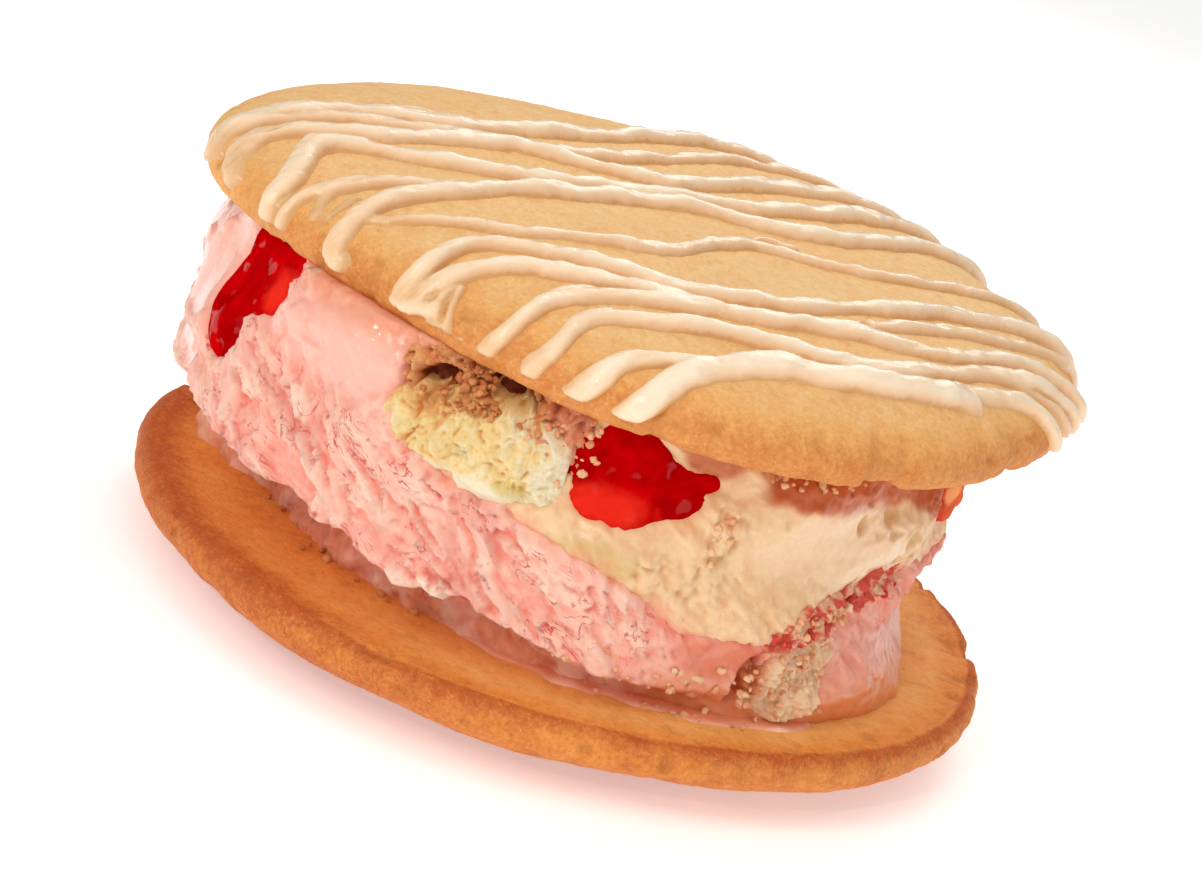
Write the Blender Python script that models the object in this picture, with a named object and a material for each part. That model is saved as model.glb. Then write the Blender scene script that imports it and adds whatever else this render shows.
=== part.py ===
"""Ice cream sandwich: two large domed sugar biscuits, flat sides inwards, round a
thick block of layered strawberry and vanilla ice cream. Strands of piped icing
cross the upper biscuit. Cake, crumble, strawberry sauce and a piece of strawberry
show in the ice cream's side.

Units are metres and +Z is up. The lower biscuit lies on the flattened crown of its
dome at Z = 0, and the origin is the middle of that spot. -Y is the front, where the
sauce and the cake show, and +X is to the right of someone looking at the front.
"""
import bmesh
import bpy
import numpy as np

MM = 0.001

# Biscuits
BISCUIT_RADIUS = 47.5 * MM
UPPER_THICKNESS = 9.5 * MM
LOWER_THICKNESS = 8.5 * MM
EDGE_HEIGHT = 2.2 * MM          # height of the widest point over the flat base
EDGE_TUCK = 1.4 * MM            # how far the base's edge lies inside the widest point
REST_RADIUS = 20.0 * MM         # flattened spot on the lower biscuit's crown
REST_MARGIN = 0.1 * MM
PROFILE_SHARES = (0.0, 0.22, 0.45, 0.64, 0.79, 0.9, 0.97, 1.0)
UPPER_SHIFT = (0.2 * MM, 3.4 * MM)
UPPER_BASE = 37.6 * MM          # height of the upper biscuit's flat base
BISCUIT_SECTORS = 56
# Unevenness of each rim: waves round the rim, cosine part, sine part
UPPER_WAVES = ((3, -1.9 * MM, 0.25 * MM), (4, 0.7 * MM, 0.1 * MM), (5, 0.4 * MM, -0.2 * MM),
               (6, 0.25 * MM, 0.3 * MM))
LOWER_WAVES = ((2, 0.2 * MM, 0.15 * MM), (3, 0.3 * MM, 0.0), (4, 0.2 * MM, 0.1 * MM), (5, -0.3 * MM, 0.0))

# Ice cream block
GAP = 0.3 * MM
BLOCK_SHIFT = -3.5 * MM         # the block sits a little left of the biscuits' middle
BLOCK_RADIUS = 42.6 * MM
BLOCK_BULGE_HEIGHT = 25.0 * MM  # height of the block's widest level
BLOCK_BULGE = 2.6 * MM          # how far its top edge lies inside that level
BLOCK_SECTORS = 60
BLOCK_LEVELS = 11
RIDGE_DEPTH = 0.55 * MM
BLOCK_INNER_SHARE = 0.5         # radius of the ring inside each flat end, as a share of the side's
FOOT_SPREAD = 1.6 * MM          # half height of the bend between foot and side
FOOT_SPREAD_GROWTH = 0.8        # how much higher the bend gets where the foot stands out
# Every thirty degrees round the block from the left (-X) through the front (-Y)
FOOT_RADIUS = tuple(value * MM for value in (39.0, 31.2, 32.6, 34.6, 40.0, 45.6,
                                             42.8, 40.0, 37.0, 36.0, 38.0, 40.0))
LEDGE_HEIGHT = tuple(value * MM for value in (14.0, 17.5, 16.5, 12.6, 11.0, 13.0,
                                              13.0, 12.0, 13.0, 14.0, 15.0, 13.0))
# Height of the seam between strawberry and vanilla, in steps to the right from SEAM_START
SEAM_START = -35.0 * MM
SEAM_STEP = 10.0 * MM
SEAM_HEIGHT = tuple(value * MM for value in (58.0, 42.0, 30.5, 25.0, 22.0, 18.5, 19.5, 23.0, 21.5, 21.0))
SEAM_SLOPE = 0.05               # rise of the seam towards the back
SEAM_WAVE = 0.8 * MM
SEAM_WAVE_SIZE = (6 * MM, 9 * MM)
SEAM_CALM = 12 * MM             # the wave fades over this length left of the middle
SEAM_REACH = 52 * MM            # half depth of the seam's sheet, front to back
SEAM_TOP = 70 * MM
SEAM_GRID = (13, 8)

# Piped icing on the upper biscuit
STROKE_ANGLE = np.radians(39.0)
STRAND_RISE = 0.44              # half height of a strand as a share of its width
STRAND_LIFT = 0.08              # height of a strand's middle over the dome, as a share of its width
STRAND_STEP = 4.4 * MM
STRAND_SIDES = 5
STRAND_END = 0.62               # width at a strand's very end, as a share of its width
STRAND_END_RINGS = 1.5          # rings over which it reaches its full width
END_CROWDING = 1.5              # stations stand closer together at a strand's near end
# Each strand in millimetres: width, near end, far end, then its places across the stroke
STRANDS = (
    (3.8, -45.0, 38.0, (19.3, 20.3, 20.5, 18.3, 21.8, 26.3, 29.3)),
    (3.0, -45.0, 43.0, (18.3, 19.1, 17.5, 13.3, 15.3, 19.3, 20.8)),
    (3.6, -47.5, 46.5, (12.8, 15.3, 12.3, 12.8, 7.3, 11.3, 14.3)),
    (3.8, -50.0, 48.0, (4.3, 5.5, 10.3, 5.5, 2.9, 2.5, 1.9, 5.3, 8.8)),
    (3.8, -50.0, 49.5, (-8.7, -5.5, -3.3, -1.8, -0.9, -0.3, -5.0, -2.2, 1.8)),
    (3.0, -50.5, -31.0, (1.8, 1.7, 0.7, -2.0)),
    (2.0, -47.0, -40.0, (-1.5, 0.5, 2.1)),
    (2.5, -44.0, 48.0, (-5.7, -8.0, -11.7, -13.4, -13.8, -9.9, -14.6, -14.2, -12.7)),
    (3.4, -47.5, 45.5, (-18.4, -16.7, -14.5, -18.2, -23.0, -24.5, -24.7, -22.0, -21.2)),
    (3.4, -47.0, -14.0, (-19.3, -19.1, -19.5, -22.6, -26.7)),
    (1.8, -45.5, -38.0, (-22.2, -20.9, -19.5)),
    (3.4, -41.5, 39.0, (-28.7, -27.9, -25.6, -26.0, -27.4, -29.9, -33.7, -32.1, -32.2)),
    (2.7, 5.0, 43.5, (-28.7, -28.6, -27.2, -24.4)),
    (3.4, -38.5, 34.0, (-32.9, -31.7, -29.1, -30.1, -32.5, -37.1, -37.4, -35.7, -36.2)),
    (3.4, -35.5, -21.0, (-36.8, -35.9, -34.9, -36.5)),
    (4.2, -32.0, 9.5, (-40.3, -39.2, -37.0, -37.0, -39.9, -41.5)),
    (3.0, 9.0, 30.0, (-40.0, -40.4, -40.0, -42.7)),
)

# Pieces in the block's side: angle round the block, distance from its axis, height,
# then half sizes round, inwards and up
CAKE = (-102.0, 37.5, 29.5, 8.0, 8.5, 5.0)
SAUCE_LAYER = (-140.0, 10.0, 36.2, 28.0, 27.0, 2.3)
SAUCE_LOBES = ((-142.0, 38.0, 31.5, 6.2, 7.5, 7.0), (-77.0, 37.0, 32.0, 8.0, 8.5, 5.6),
               (72.0, 36.0, 33.0, 7.0, 9.0, 4.4))
CRUMBLE_LUMPS = ((-48.0, 38.5, 14.6, 6.4, 7.5, 5.6), (-38.0, 34.0, 20.5, 13.5, 13.0, 2.6))
STRAWBERRY = (-9.0, 39.5, 29.6, 3.2, 3.6, 3.6)
LUMP_SIDES = 12
LUMP_ROWS = 6
LUMP_SWELLS = (0.06, 0.05)      # unevenness of a lump as shares of its size
LUMP_SQUARENESS = 0.22          # how far a lump's corners stand out

WELD_DISTANCE = 0.002 * MM
SHARP_ANGLE = np.radians(50.0)

# Colour and roughness of each piece
FINISHES = {
    "cookie_top": ((0.80, 0.48, 0.21), 0.70),
    "cookie_bottom": ((0.58, 0.19, 0.05), 0.75),
    "strawberry_ice_cream": ((0.91, 0.44, 0.34), 0.45),
    "vanilla_ice_cream": ((0.86, 0.55, 0.31), 0.45),
    "strawberry_sauce": ((0.45, 0.01, 0.01), 0.12),
    "cake_piece": ((0.92, 0.56, 0.24), 0.85),
    "strawberry_crumble": ((0.72, 0.20, 0.13), 0.80),
    "strawberry_piece": ((0.60, 0.12, 0.07), 0.35),
}


def hermite(values, position):
    """Smooth curve through evenly spaced values; position counts the steps between them."""
    values = np.asarray(values, float)
    index = np.clip(np.floor(position).astype(int), 0, len(values) - 2)
    part = np.asarray(position) - index
    slope = np.gradient(values)
    start, end = values[index], values[index + 1]
    return (start * (1 + 2 * part) * (1 - part) ** 2 + slope[index] * part * (1 - part) ** 2
            + end * part ** 2 * (3 - 2 * part) + slope[index + 1] * part ** 2 * (part - 1))


def round_the_block(values, angle):
    """Smooth curve through values given at even angles, starting and ending at -180 degrees."""
    ring = tuple(values[-2:]) + tuple(values) + tuple(values[:3])
    step = 2 * np.pi / len(values)
    turns = np.mod(angle + np.pi, 2 * np.pi)
    return hermite(ring, turns / step + 2)


def smooth_step(value):
    """Rises from 0 to 1 with level ends as value goes from 0 to 1."""
    value = np.clip(value, 0, 1)
    return value * value * (3 - 2 * value)


def rim_radius(angle, waves):
    """Radius of a biscuit's rim at an angle."""
    radius = np.full_like(np.asarray(angle, float), BISCUIT_RADIUS)
    for count, cosine, sine in waves:
        radius += cosine * np.cos(count * angle) + sine * np.sin(count * angle)
    return radius


def dome_height(share, thickness):
    """Height over the flat base at a share of the rim's radius."""
    return EDGE_HEIGHT + (thickness - EDGE_HEIGHT) * np.sqrt(np.maximum(1 - share ** 4, 0))


def half_profile(thickness):
    """Shares of the rim's radius and heights over the base, from the crown to the base's edge."""
    share = np.array(PROFILE_SHARES)
    height = dome_height(share, thickness)
    turn = np.radians((45.0, 90.0))
    tuck = EDGE_TUCK / BISCUIT_RADIUS
    share = np.append(share, 1 - tuck + tuck * np.cos(turn))
    height = np.append(height, EDGE_HEIGHT * (1 - np.sin(turn)))
    return np.append(share, (0.5, 0.0)), np.append(height, (0.0, 0.0))


def new_object(name, vertices, faces):
    """A mesh object of triangles that point out."""
    mesh = bpy.data.meshes.new(name)
    mesh.from_pydata([tuple(point) for point in vertices], [], faces)
    shape = bmesh.new()
    shape.from_mesh(mesh)
    bmesh.ops.recalc_face_normals(shape, faces=shape.faces)
    bmesh.ops.triangulate(shape, faces=shape.faces, quad_method="FIXED")
    shape.to_mesh(mesh)
    shape.free()
    piece = bpy.data.objects.new(name, mesh)
    bpy.context.scene.collection.objects.link(piece)
    return piece


def closed_rings(name, first, rings, last):
    """Solid from a start point, rows of points round it, and an end point."""
    rows, count = rings.shape[:2]
    vertices = np.vstack((first, rings.reshape(-1, 3), last))
    faces = [(0, 1 + (k + 1) % count, 1 + k) for k in range(count)]
    for row in range(rows - 1):
        low, high = 1 + row * count, 1 + (row + 1) * count
        for k in range(count):
            after = (k + 1) % count
            faces.append((low + k, low + after, high + after, high + k))
    top = 1 + (rows - 1) * count
    end = len(vertices) - 1
    faces += [(top + k, top + (k + 1) % count, end) for k in range(count)]
    return new_object(name, vertices, faces)


def boolean(target, operation, other, solver="EXACT"):
    """Cuts target by another object or joins it with a collection, and removes what it used."""
    modifier = target.modifiers.new("Shape", "BOOLEAN")
    modifier.operation = operation
    modifier.solver = solver
    if isinstance(other, bpy.types.Collection):
        modifier.operand_type = "COLLECTION"
        modifier.collection = other
        used = list(other.objects)
    else:
        modifier.object = other
        used = [other]
    graph = bpy.context.evaluated_depsgraph_get()
    result = bpy.data.meshes.new_from_object(target.evaluated_get(graph))
    target.modifiers.clear()
    target.data = result
    for piece in used:
        bpy.data.objects.remove(piece)
    if isinstance(other, bpy.types.Collection):
        bpy.data.collections.remove(other)


def copy_of(piece, name):
    """A second object with its own mesh."""
    twin = piece.copy()
    twin.data = piece.data.copy()
    twin.name = name
    bpy.context.scene.collection.objects.link(twin)
    return twin


def keep_largest_body(piece):
    """Drops loose scraps that a cut leaves beside the main body."""
    shape = bmesh.new()
    shape.from_mesh(piece.data)
    bmesh.ops.remove_doubles(shape, verts=shape.verts, dist=WELD_DISTANCE)
    left = set(shape.faces)
    bodies = []
    while left:
        body = [left.pop()]
        for face in body:
            for edge in face.edges:
                for other in edge.link_faces:
                    if other in left:
                        left.remove(other)
                        body.append(other)
        bodies.append(body)
    bodies.sort(key=len)
    for body in bodies[:-1]:
        bmesh.ops.delete(shape, geom=body, context="FACES")
    shape.to_mesh(piece.data)
    shape.free()


def finish(piece, colour, roughness):
    """Gives a piece its material and smooth shading with sharp folds kept."""
    material = bpy.data.materials.new(piece.name)
    material.use_nodes = True
    shader = material.node_tree.nodes["Principled BSDF"]
    shader.inputs["Base Color"].default_value = (*colour, 1.0)
    shader.inputs["Roughness"].default_value = roughness
    shader.inputs["Metallic"].default_value = 0.0
    piece.data.materials.clear()
    piece.data.materials.append(material)
    piece.data.polygons.foreach_set("material_index", [0] * len(piece.data.polygons))
    piece.data.shade_smooth()
    piece.data.set_sharp_from_angle(angle=SHARP_ANGLE)


def make_biscuit(name, thickness, waves, base, shift, dome_up):
    """Domed biscuit with its flat base at a height, the dome above or below it."""
    share, height = half_profile(thickness)
    if not dome_up:
        # The crown that carries the weight is pressed flat
        height[share * BISCUIT_RADIUS <= REST_RADIUS + REST_MARGIN] = thickness
        height[-1] = 0.0
    angle = np.linspace(-np.pi, np.pi, BISCUIT_SECTORS, endpoint=False)
    sign = 1.0 if dome_up else -1.0
    radius = share[1:-1, None] * rim_radius(angle, waves)[None]
    rings = np.stack((shift[0] + radius * np.cos(angle), shift[1] + radius * np.sin(angle),
                      np.broadcast_to(base + sign * height[1:-1, None], radius.shape)), axis=-1)
    first = (shift[0], shift[1], base + sign * height[0])
    last = (shift[0], shift[1], base)
    return closed_rings(name, first, rings, last)


def dome_frame(along, across):
    """Points on the upper biscuit's dome and its outward directions.

    along and across are measured over the dome's surface from its crown, along and
    square to the icing's stroke, and wrap over the rim."""
    x = along * np.cos(STROKE_ANGLE) - across * np.sin(STROKE_ANGLE)
    y = along * np.sin(STROKE_ANGLE) + across * np.cos(STROKE_ANGLE)
    angle = np.arctan2(y, x)
    share = 1 - np.linspace(1, 0, 200) ** 2
    height = dome_height(share, UPPER_THICKNESS)
    turn = np.linspace(0, np.pi / 2, 12)[1:]
    tuck = EDGE_TUCK / BISCUIT_RADIUS
    share = np.append(share, 1 - tuck + tuck * np.cos(turn))
    height = np.append(height, EDGE_HEIGHT * (1 - np.sin(turn)))
    step = np.hypot(np.diff(share * BISCUIT_RADIUS), np.diff(height))
    length = np.append(0.0, np.cumsum(step))
    out = np.hypot(x, y)
    rim = rim_radius(angle, UPPER_WAVES)
    radius = np.interp(out, length, share) * rim
    points = np.stack((UPPER_SHIFT[0] + radius * np.cos(angle), UPPER_SHIFT[1] + radius * np.sin(angle),
                       UPPER_BASE + np.interp(out, length, height)), axis=-1)
    slope_out = np.interp(out, length, np.gradient(share * BISCUIT_RADIUS, length))
    slope_up = np.interp(out, length, np.gradient(height, length))
    normal = np.stack((-slope_up * np.cos(angle), -slope_up * np.sin(angle), slope_out), axis=-1)
    return points, normal / np.linalg.norm(normal, axis=-1, keepdims=True)


def make_strand(name, width, near, far, places):
    """One strand of icing: a flattened tube half sunk in the dome, with blunt ends."""
    width, near, far = width * MM, near * MM, far * MM
    count = max(4, int(round((far - near) / STRAND_STEP)) + 1)
    share = np.linspace(0, 1, count)
    along = near + (far - near) * share
    across = hermite(np.array(places) * MM, share ** (1 / END_CROWDING) * (len(places) - 1))
    points, normal = dome_frame(along, across)
    tangent = np.gradient(points, axis=0)
    side = np.cross(normal, tangent)
    side /= np.linalg.norm(side, axis=-1, keepdims=True)
    from_end = np.minimum(np.arange(count), np.arange(count)[::-1]) / STRAND_END_RINGS
    full = np.minimum(1, STRAND_END + (1 - STRAND_END) * np.sqrt(from_end))
    turn = 2 * np.pi * (np.arange(STRAND_SIDES) + 0.75) / STRAND_SIDES
    points = points + STRAND_LIFT * width * normal
    sideways = width / 2 * full[:, None, None] * np.cos(turn)[:, None] * side[:, None]
    upwards = STRAND_RISE * width * full[:, None, None] * np.sin(turn)[:, None] * normal[:, None]
    return closed_rings(name, points[0], points[:, None] + sideways + upwards, points[-1])


def make_upper_biscuit():
    """The domed upper biscuit with its icing joined on."""
    biscuit = make_biscuit("cookie_top", UPPER_THICKNESS, UPPER_WAVES, UPPER_BASE, UPPER_SHIFT, True)
    icing = bpy.data.collections.new("icing")
    bpy.context.scene.collection.children.link(icing)
    for number, strand in enumerate(STRANDS):
        piece = make_strand("strand_%02d" % number, *strand)
        bpy.context.scene.collection.objects.unlink(piece)
        icing.objects.link(piece)
    boolean(biscuit, "UNION", icing, solver="MANIFOLD")
    keep_largest_body(biscuit)
    return biscuit


def block_radius(angle, height):
    """Radius of the ice cream's side: a bulge, drawn in under a ledge or spread at its foot."""
    foot = round_the_block(FOOT_RADIUS, angle)
    ledge = round_the_block(LEDGE_HEIGHT, angle)
    above = np.maximum(height - BLOCK_BULGE_HEIGHT, 0) / (UPPER_BASE - BLOCK_BULGE_HEIGHT)
    side = BLOCK_RADIUS - BLOCK_BULGE * above ** 2
    spread = FOOT_SPREAD + FOOT_SPREAD_GROWTH * np.maximum(foot - BLOCK_RADIUS, 0)
    rise = smooth_step((height - ledge) / (2 * spread) + 0.5)
    level = height / MM
    ridges = (np.sin(5 * angle + 0.35 * level) + 0.8 * np.sin(9 * angle - 0.5 * level + 1)
              + 0.6 * np.sin(13 * angle + 0.9 * level + 2))
    return foot + (side - foot) * rise + RIDGE_DEPTH * ridges


def make_block():
    """The whole filling before it is divided, a gap clear of both biscuits."""
    angle = np.linspace(-np.pi, np.pi, BLOCK_SECTORS, endpoint=False)[None]
    low, high = LOWER_THICKNESS + GAP, UPPER_BASE - GAP
    level = np.linspace(low, high, BLOCK_LEVELS)[:, None]
    radius = block_radius(angle, level)
    radius = np.vstack((BLOCK_INNER_SHARE * radius[:1], radius, BLOCK_INNER_SHARE * radius[-1:]))
    level = np.broadcast_to(np.vstack(([[low]], level, [[high]])), radius.shape)
    rings = np.stack((BLOCK_SHIFT + radius * np.cos(angle), radius * np.sin(angle), level), axis=-1)
    return closed_rings("block", (BLOCK_SHIFT, 0, low), rings, (BLOCK_SHIFT, 0, high))


def seam_cutter(lift):
    """Slab whose wavy underside is the seam between strawberry and vanilla, raised by lift."""
    columns, rows = SEAM_GRID
    x = np.linspace(SEAM_START, SEAM_START + SEAM_STEP * (len(SEAM_HEIGHT) - 1), columns)[:, None]
    y = np.linspace(-SEAM_REACH, SEAM_REACH, rows)[None]
    seam = hermite(SEAM_HEIGHT, (x - SEAM_START) / SEAM_STEP) + SEAM_SLOPE * y
    wave = SEAM_WAVE * np.sin(x / SEAM_WAVE_SIZE[0]) * np.cos(y / SEAM_WAVE_SIZE[1])
    seam = seam + wave * smooth_step(x / SEAM_CALM + 1.0) + lift
    x, y = np.broadcast_to(x, seam.shape), np.broadcast_to(y, seam.shape)
    under = np.stack((x, y, seam), axis=-1).reshape(-1, 3)
    top = np.stack((x, y, np.full(seam.shape, SEAM_TOP)), axis=-1).reshape(-1, 3)
    vertices = np.vstack((under, top))
    over = columns * rows
    faces = []
    for i in range(columns - 1):
        for j in range(rows - 1):
            a, b = i * rows + j, (i + 1) * rows + j
            faces += [(a, b, b + 1, a + 1), (over + a, over + a + 1, over + b + 1, over + b)]
    border = ([i * rows for i in range(columns)] + [(columns - 1) * rows + j for j in range(1, rows)]
              + [i * rows + rows - 1 for i in range(columns - 2, -1, -1)] + list(range(rows - 2, 0, -1)))
    for a, b in zip(border, border[1:] + border[:1]):
        faces.append((a, over + a, over + b, b))
    return new_object("seam", vertices, faces)


def make_lump(name, place, grow=0.0):
    """Rounded uneven lump in the block's side; grow widens it all round."""
    turned, out, up, half_round, half_in, half_up = place
    turned = np.radians(turned)
    lat = np.linspace(-np.pi / 2, np.pi / 2, LUMP_ROWS + 2)[1:-1, None]
    lon = np.linspace(0, 2 * np.pi, LUMP_SIDES, endpoint=False)[None]
    swell = (1 + LUMP_SWELLS[0] * np.sin(3 * lon + 4 * lat + out)
             + LUMP_SWELLS[1] * np.cos(5 * lon - 3 * lat + up))
    level = np.broadcast_to(np.sin(lat), swell.shape) * swell
    inward = np.cos(lat) * np.cos(lon) * swell
    tangent = np.cos(lat) * np.sin(lon) * swell
    square = 1 + LUMP_SQUARENESS * (1 - np.abs(level)) * np.sin(2 * lon) ** 2

    def placed(inward, tangent, level):
        radial = out * MM + inward * (half_in * MM + grow)
        along = tangent * (half_round * MM + grow)
        return np.stack((BLOCK_SHIFT + radial * np.cos(turned) - along * np.sin(turned),
                         radial * np.sin(turned) + along * np.cos(turned),
                         up * MM + level * (half_up * MM + grow)), axis=-1)

    rings = placed(inward * square, tangent * square, level)
    low, high = placed(0.0, 0.0, -1.0), placed(0.0, 0.0, 1.0)
    return closed_rings(name, low, rings, high)


def join_lumps(name, places, grow=0.0):
    """Several lumps joined in one solid."""
    first = make_lump(name, places[0], grow)
    for number, place in enumerate(places[1:]):
        boolean(first, "UNION", make_lump("%s_%d" % (name, number), place, grow))
    return first


def make_filling():
    """Ice creams, sauce, cake, crumble and strawberry, each a gap clear of the next."""
    block = make_block()
    insets = {"strawberry_sauce": (SAUCE_LAYER,) + SAUCE_LOBES, "cake_piece": (CAKE,),
              "strawberry_crumble": CRUMBLE_LUMPS, "strawberry_piece": (STRAWBERRY,)}
    pink = copy_of(block, "strawberry_ice_cream")
    cream = copy_of(block, "vanilla_ice_cream")
    boolean(pink, "DIFFERENCE", seam_cutter(-GAP / 2))
    boolean(cream, "INTERSECT", seam_cutter(GAP / 2))
    pieces = [pink, cream]
    for name, places in insets.items():
        for carrier in pieces:
            boolean(carrier, "DIFFERENCE", join_lumps("room", places, GAP))
        inset = join_lumps(name, places)
        for carrier in pieces[2:]:
            # An earlier inset keeps its shape and this one gives way to it
            boolean(inset, "DIFFERENCE", join_lumps("room", insets[carrier.name], GAP))
        boolean(inset, "INTERSECT", copy_of(block, "outer"))
        pieces.append(inset)
    bpy.data.objects.remove(block)
    for piece in pieces:
        keep_largest_body(piece)
    return {piece.name: piece for piece in pieces}


def main():
    """Builds every piece in an empty scene."""
    for item in list(bpy.data.objects):
        bpy.data.objects.remove(item)
    pieces = {"cookie_top": make_upper_biscuit()}
    pieces["cookie_bottom"] = make_biscuit("cookie_bottom", LOWER_THICKNESS, LOWER_WAVES, LOWER_THICKNESS,
                                           (0.0, 0.0), False)
    pieces.update(make_filling())
    for name, (colour, roughness) in FINISHES.items():
        finish(pieces[name], colour, roughness)


main()
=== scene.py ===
"""Looks of an ice cream sandwich: iced sugar biscuits round soft layered ice cream.

The frame holds the solids; most pieces here are the finished surface that stands for
one of them, and the crumb beds, loose crumbs and the film of melting ice cream are added.
Lengths are millimetres until a mesh is written, which turns them into the frame's metres.
Angles round the filling run from -180 degrees at the left through -90 degrees at the front
and 0 at the right.
"""
import logging
import math
from collections.abc import Sequence
from dataclasses import dataclass
from enum import Enum

import bpy
import numpy as np
from mathutils import Matrix, Vector


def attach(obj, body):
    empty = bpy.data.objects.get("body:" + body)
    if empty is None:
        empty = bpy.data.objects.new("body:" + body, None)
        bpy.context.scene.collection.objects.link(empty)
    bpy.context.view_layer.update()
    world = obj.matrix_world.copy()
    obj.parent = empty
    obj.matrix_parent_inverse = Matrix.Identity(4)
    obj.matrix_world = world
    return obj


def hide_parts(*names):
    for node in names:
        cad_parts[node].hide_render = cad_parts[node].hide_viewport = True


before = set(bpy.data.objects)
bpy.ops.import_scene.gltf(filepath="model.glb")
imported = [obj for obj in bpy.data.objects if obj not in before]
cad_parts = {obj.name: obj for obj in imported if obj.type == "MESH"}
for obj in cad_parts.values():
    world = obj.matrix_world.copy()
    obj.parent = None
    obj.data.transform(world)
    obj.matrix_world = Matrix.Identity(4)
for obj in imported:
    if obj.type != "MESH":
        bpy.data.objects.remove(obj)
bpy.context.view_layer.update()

MM = 0.001
BODY = "root"
Array = np.ndarray
Colour = tuple[int, int, int]

log = logging.getLogger("sandwich")


def smooth_step(value: Array) -> Array:
    """Ease from 0 to 1: three times the square less twice the cube, held at both ends."""
    value = np.clip(value, 0.0, 1.0)
    return value * value * (3.0 - 2.0 * value)


def hermite(values: Sequence[float], position: Array) -> Array:
    """Smooth curve through evenly spaced values.

    The curve is the cubic with the values' own slopes at both ends of each step.

    Args:
        values: heights of the curve at positions 0, 1, 2 and so on.
        position: where to read it, in steps.

    Returns:
        The curve's heights.
    """
    values = np.asarray(values, float)
    index = np.clip(np.floor(position).astype(int), 0, len(values) - 2)
    part = np.asarray(position) - index
    slope = np.gradient(values)
    return (values[index] * (1 + 2 * part) * (1 - part) ** 2 + slope[index] * part * (1 - part) ** 2
            + values[index + 1] * part ** 2 * (3 - 2 * part)
            + slope[index + 1] * part ** 2 * (part - 1))


def round_the_block(values: Sequence[float], angle: Array) -> Array:
    """Periodic smooth curve through values at even angles, the first at the left."""
    ring = tuple(values[-2:]) + tuple(values) + tuple(values[:3])
    turns = np.mod(angle + np.pi, 2 * np.pi)
    return hermite(ring, turns * len(values) / (2 * np.pi) + 2)


def oval(angle: Array, level: Array, place: tuple[float, float, float, float], radius: float) -> Array:
    """Distance inside an oval on the block's side, in millimetres, negative outside.

    The distance is one less the oval's own radius at the point, times its smaller half size.

    Args:
        angle: angle round the block, radians.
        level: height.
        place: middle angle in degrees, middle height, half width and half height.
        radius: the block's radius, which turns angles into lengths.

    Returns:
        The signed distance.
    """
    middle, height, half_width, half_height = place
    turned = np.angle(np.exp(1j * (angle - np.radians(middle))))
    share = np.hypot(turned * radius / half_width, (level - height) / half_height)
    return (1.0 - share) * min(half_width, half_height)


@dataclass(frozen=True)
class Noise:
    """Repeatable noise on a lattice of random numbers."""

    seed: int

    def lattice(self, cell: Array) -> Array:
        """Random number from 0 to 1 of a whole-numbered cell: its mixed and folded bits."""
        cell = cell.astype(np.int64)
        bits = (cell[..., 0] * 73856093) ^ (cell[..., 1] * 19349663) ^ (cell[..., 2] * 83492791)
        bits = (bits ^ (self.seed * 97531)) & 0xFFFFFFFF
        bits = ((bits ^ (bits >> 15)) * 2246822519) & 0xFFFFFFFF
        bits = ((bits ^ (bits >> 13)) * 3266489917) & 0xFFFFFFFF
        return (bits ^ (bits >> 16)) / 4294967296.0

    def smooth(self, points: Array, size: float) -> Array:
        """Noise from -1 to 1 with lumps of a size, eased between the cell's eight corners."""
        scaled = points / size
        cell = np.floor(scaled)
        part = scaled - cell
        ease = part * part * part * (part * (part * 6 - 15) + 10)
        total = np.zeros(points.shape[:-1])
        for corner in np.ndindex(2, 2, 2):
            step = np.array(corner)
            weight = np.prod(np.where(step == 1, ease, 1 - ease), axis=-1)
            total += weight * self.lattice(cell + step)
        return 2.0 * total - 1.0

    def layered(self, points: Array, size: float, layers: int = 4, fall: float = 0.5) -> Array:
        """Sum of noises, each half the size of the last and weaker by fall."""
        total = np.zeros(points.shape[:-1])
        weight, sum_weight = 1.0, 0.0
        for layer in range(layers):
            total += weight * Noise(self.seed + layer).smooth(points + 17.3 * layer, size)
            sum_weight += weight
            weight *= fall
            size *= 0.5
        return total / sum_weight

    def ridged(self, points: Array, size: float, layers: int = 3) -> Array:
        """Sharp crests from 0 to 1: one less the size of each layer's noise, squared."""
        total = np.zeros(points.shape[:-1])
        weight, sum_weight = 1.0, 0.0
        for layer in range(layers):
            crest = 1.0 - np.abs(Noise(self.seed + 31 * layer).smooth(points + 5.1 * layer, size))
            total += weight * crest ** 2
            sum_weight += weight
            weight *= 0.5
            size *= 0.52
        return total / sum_weight

    def crumbs(self, points: Array, size: float) -> Array:
        """Rounded crumbs from 0 to 1: one less the distance to the nearest scattered centre."""
        scaled = points / size
        cell = np.floor(scaled)
        nearest = np.full(points.shape[:-1], 9.0)
        for step in np.ndindex(3, 3, 3):
            near = cell + np.array(step) - 1
            centre = np.stack([Noise(self.seed + k).lattice(near) for k in range(3)], axis=-1)
            away = np.sum((near + centre - scaled) ** 2, axis=-1)
            nearest = np.minimum(nearest, away)
        return 1.0 - np.minimum(np.sqrt(nearest), 1.0)


def cavity(height: Array, reach: int) -> Array:
    """How far each point of a height grid lies below its neighbourhood's mean, in millimetres."""
    mean = height.copy()
    for _ in range(reach):
        padded = np.pad(mean, 1, mode="edge")
        mean = (padded[:-2, 1:-1] + padded[2:, 1:-1] + padded[1:-1, :-2] + padded[1:-1, 2:]) / 4
    return np.maximum(mean - height, 0.0)


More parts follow.
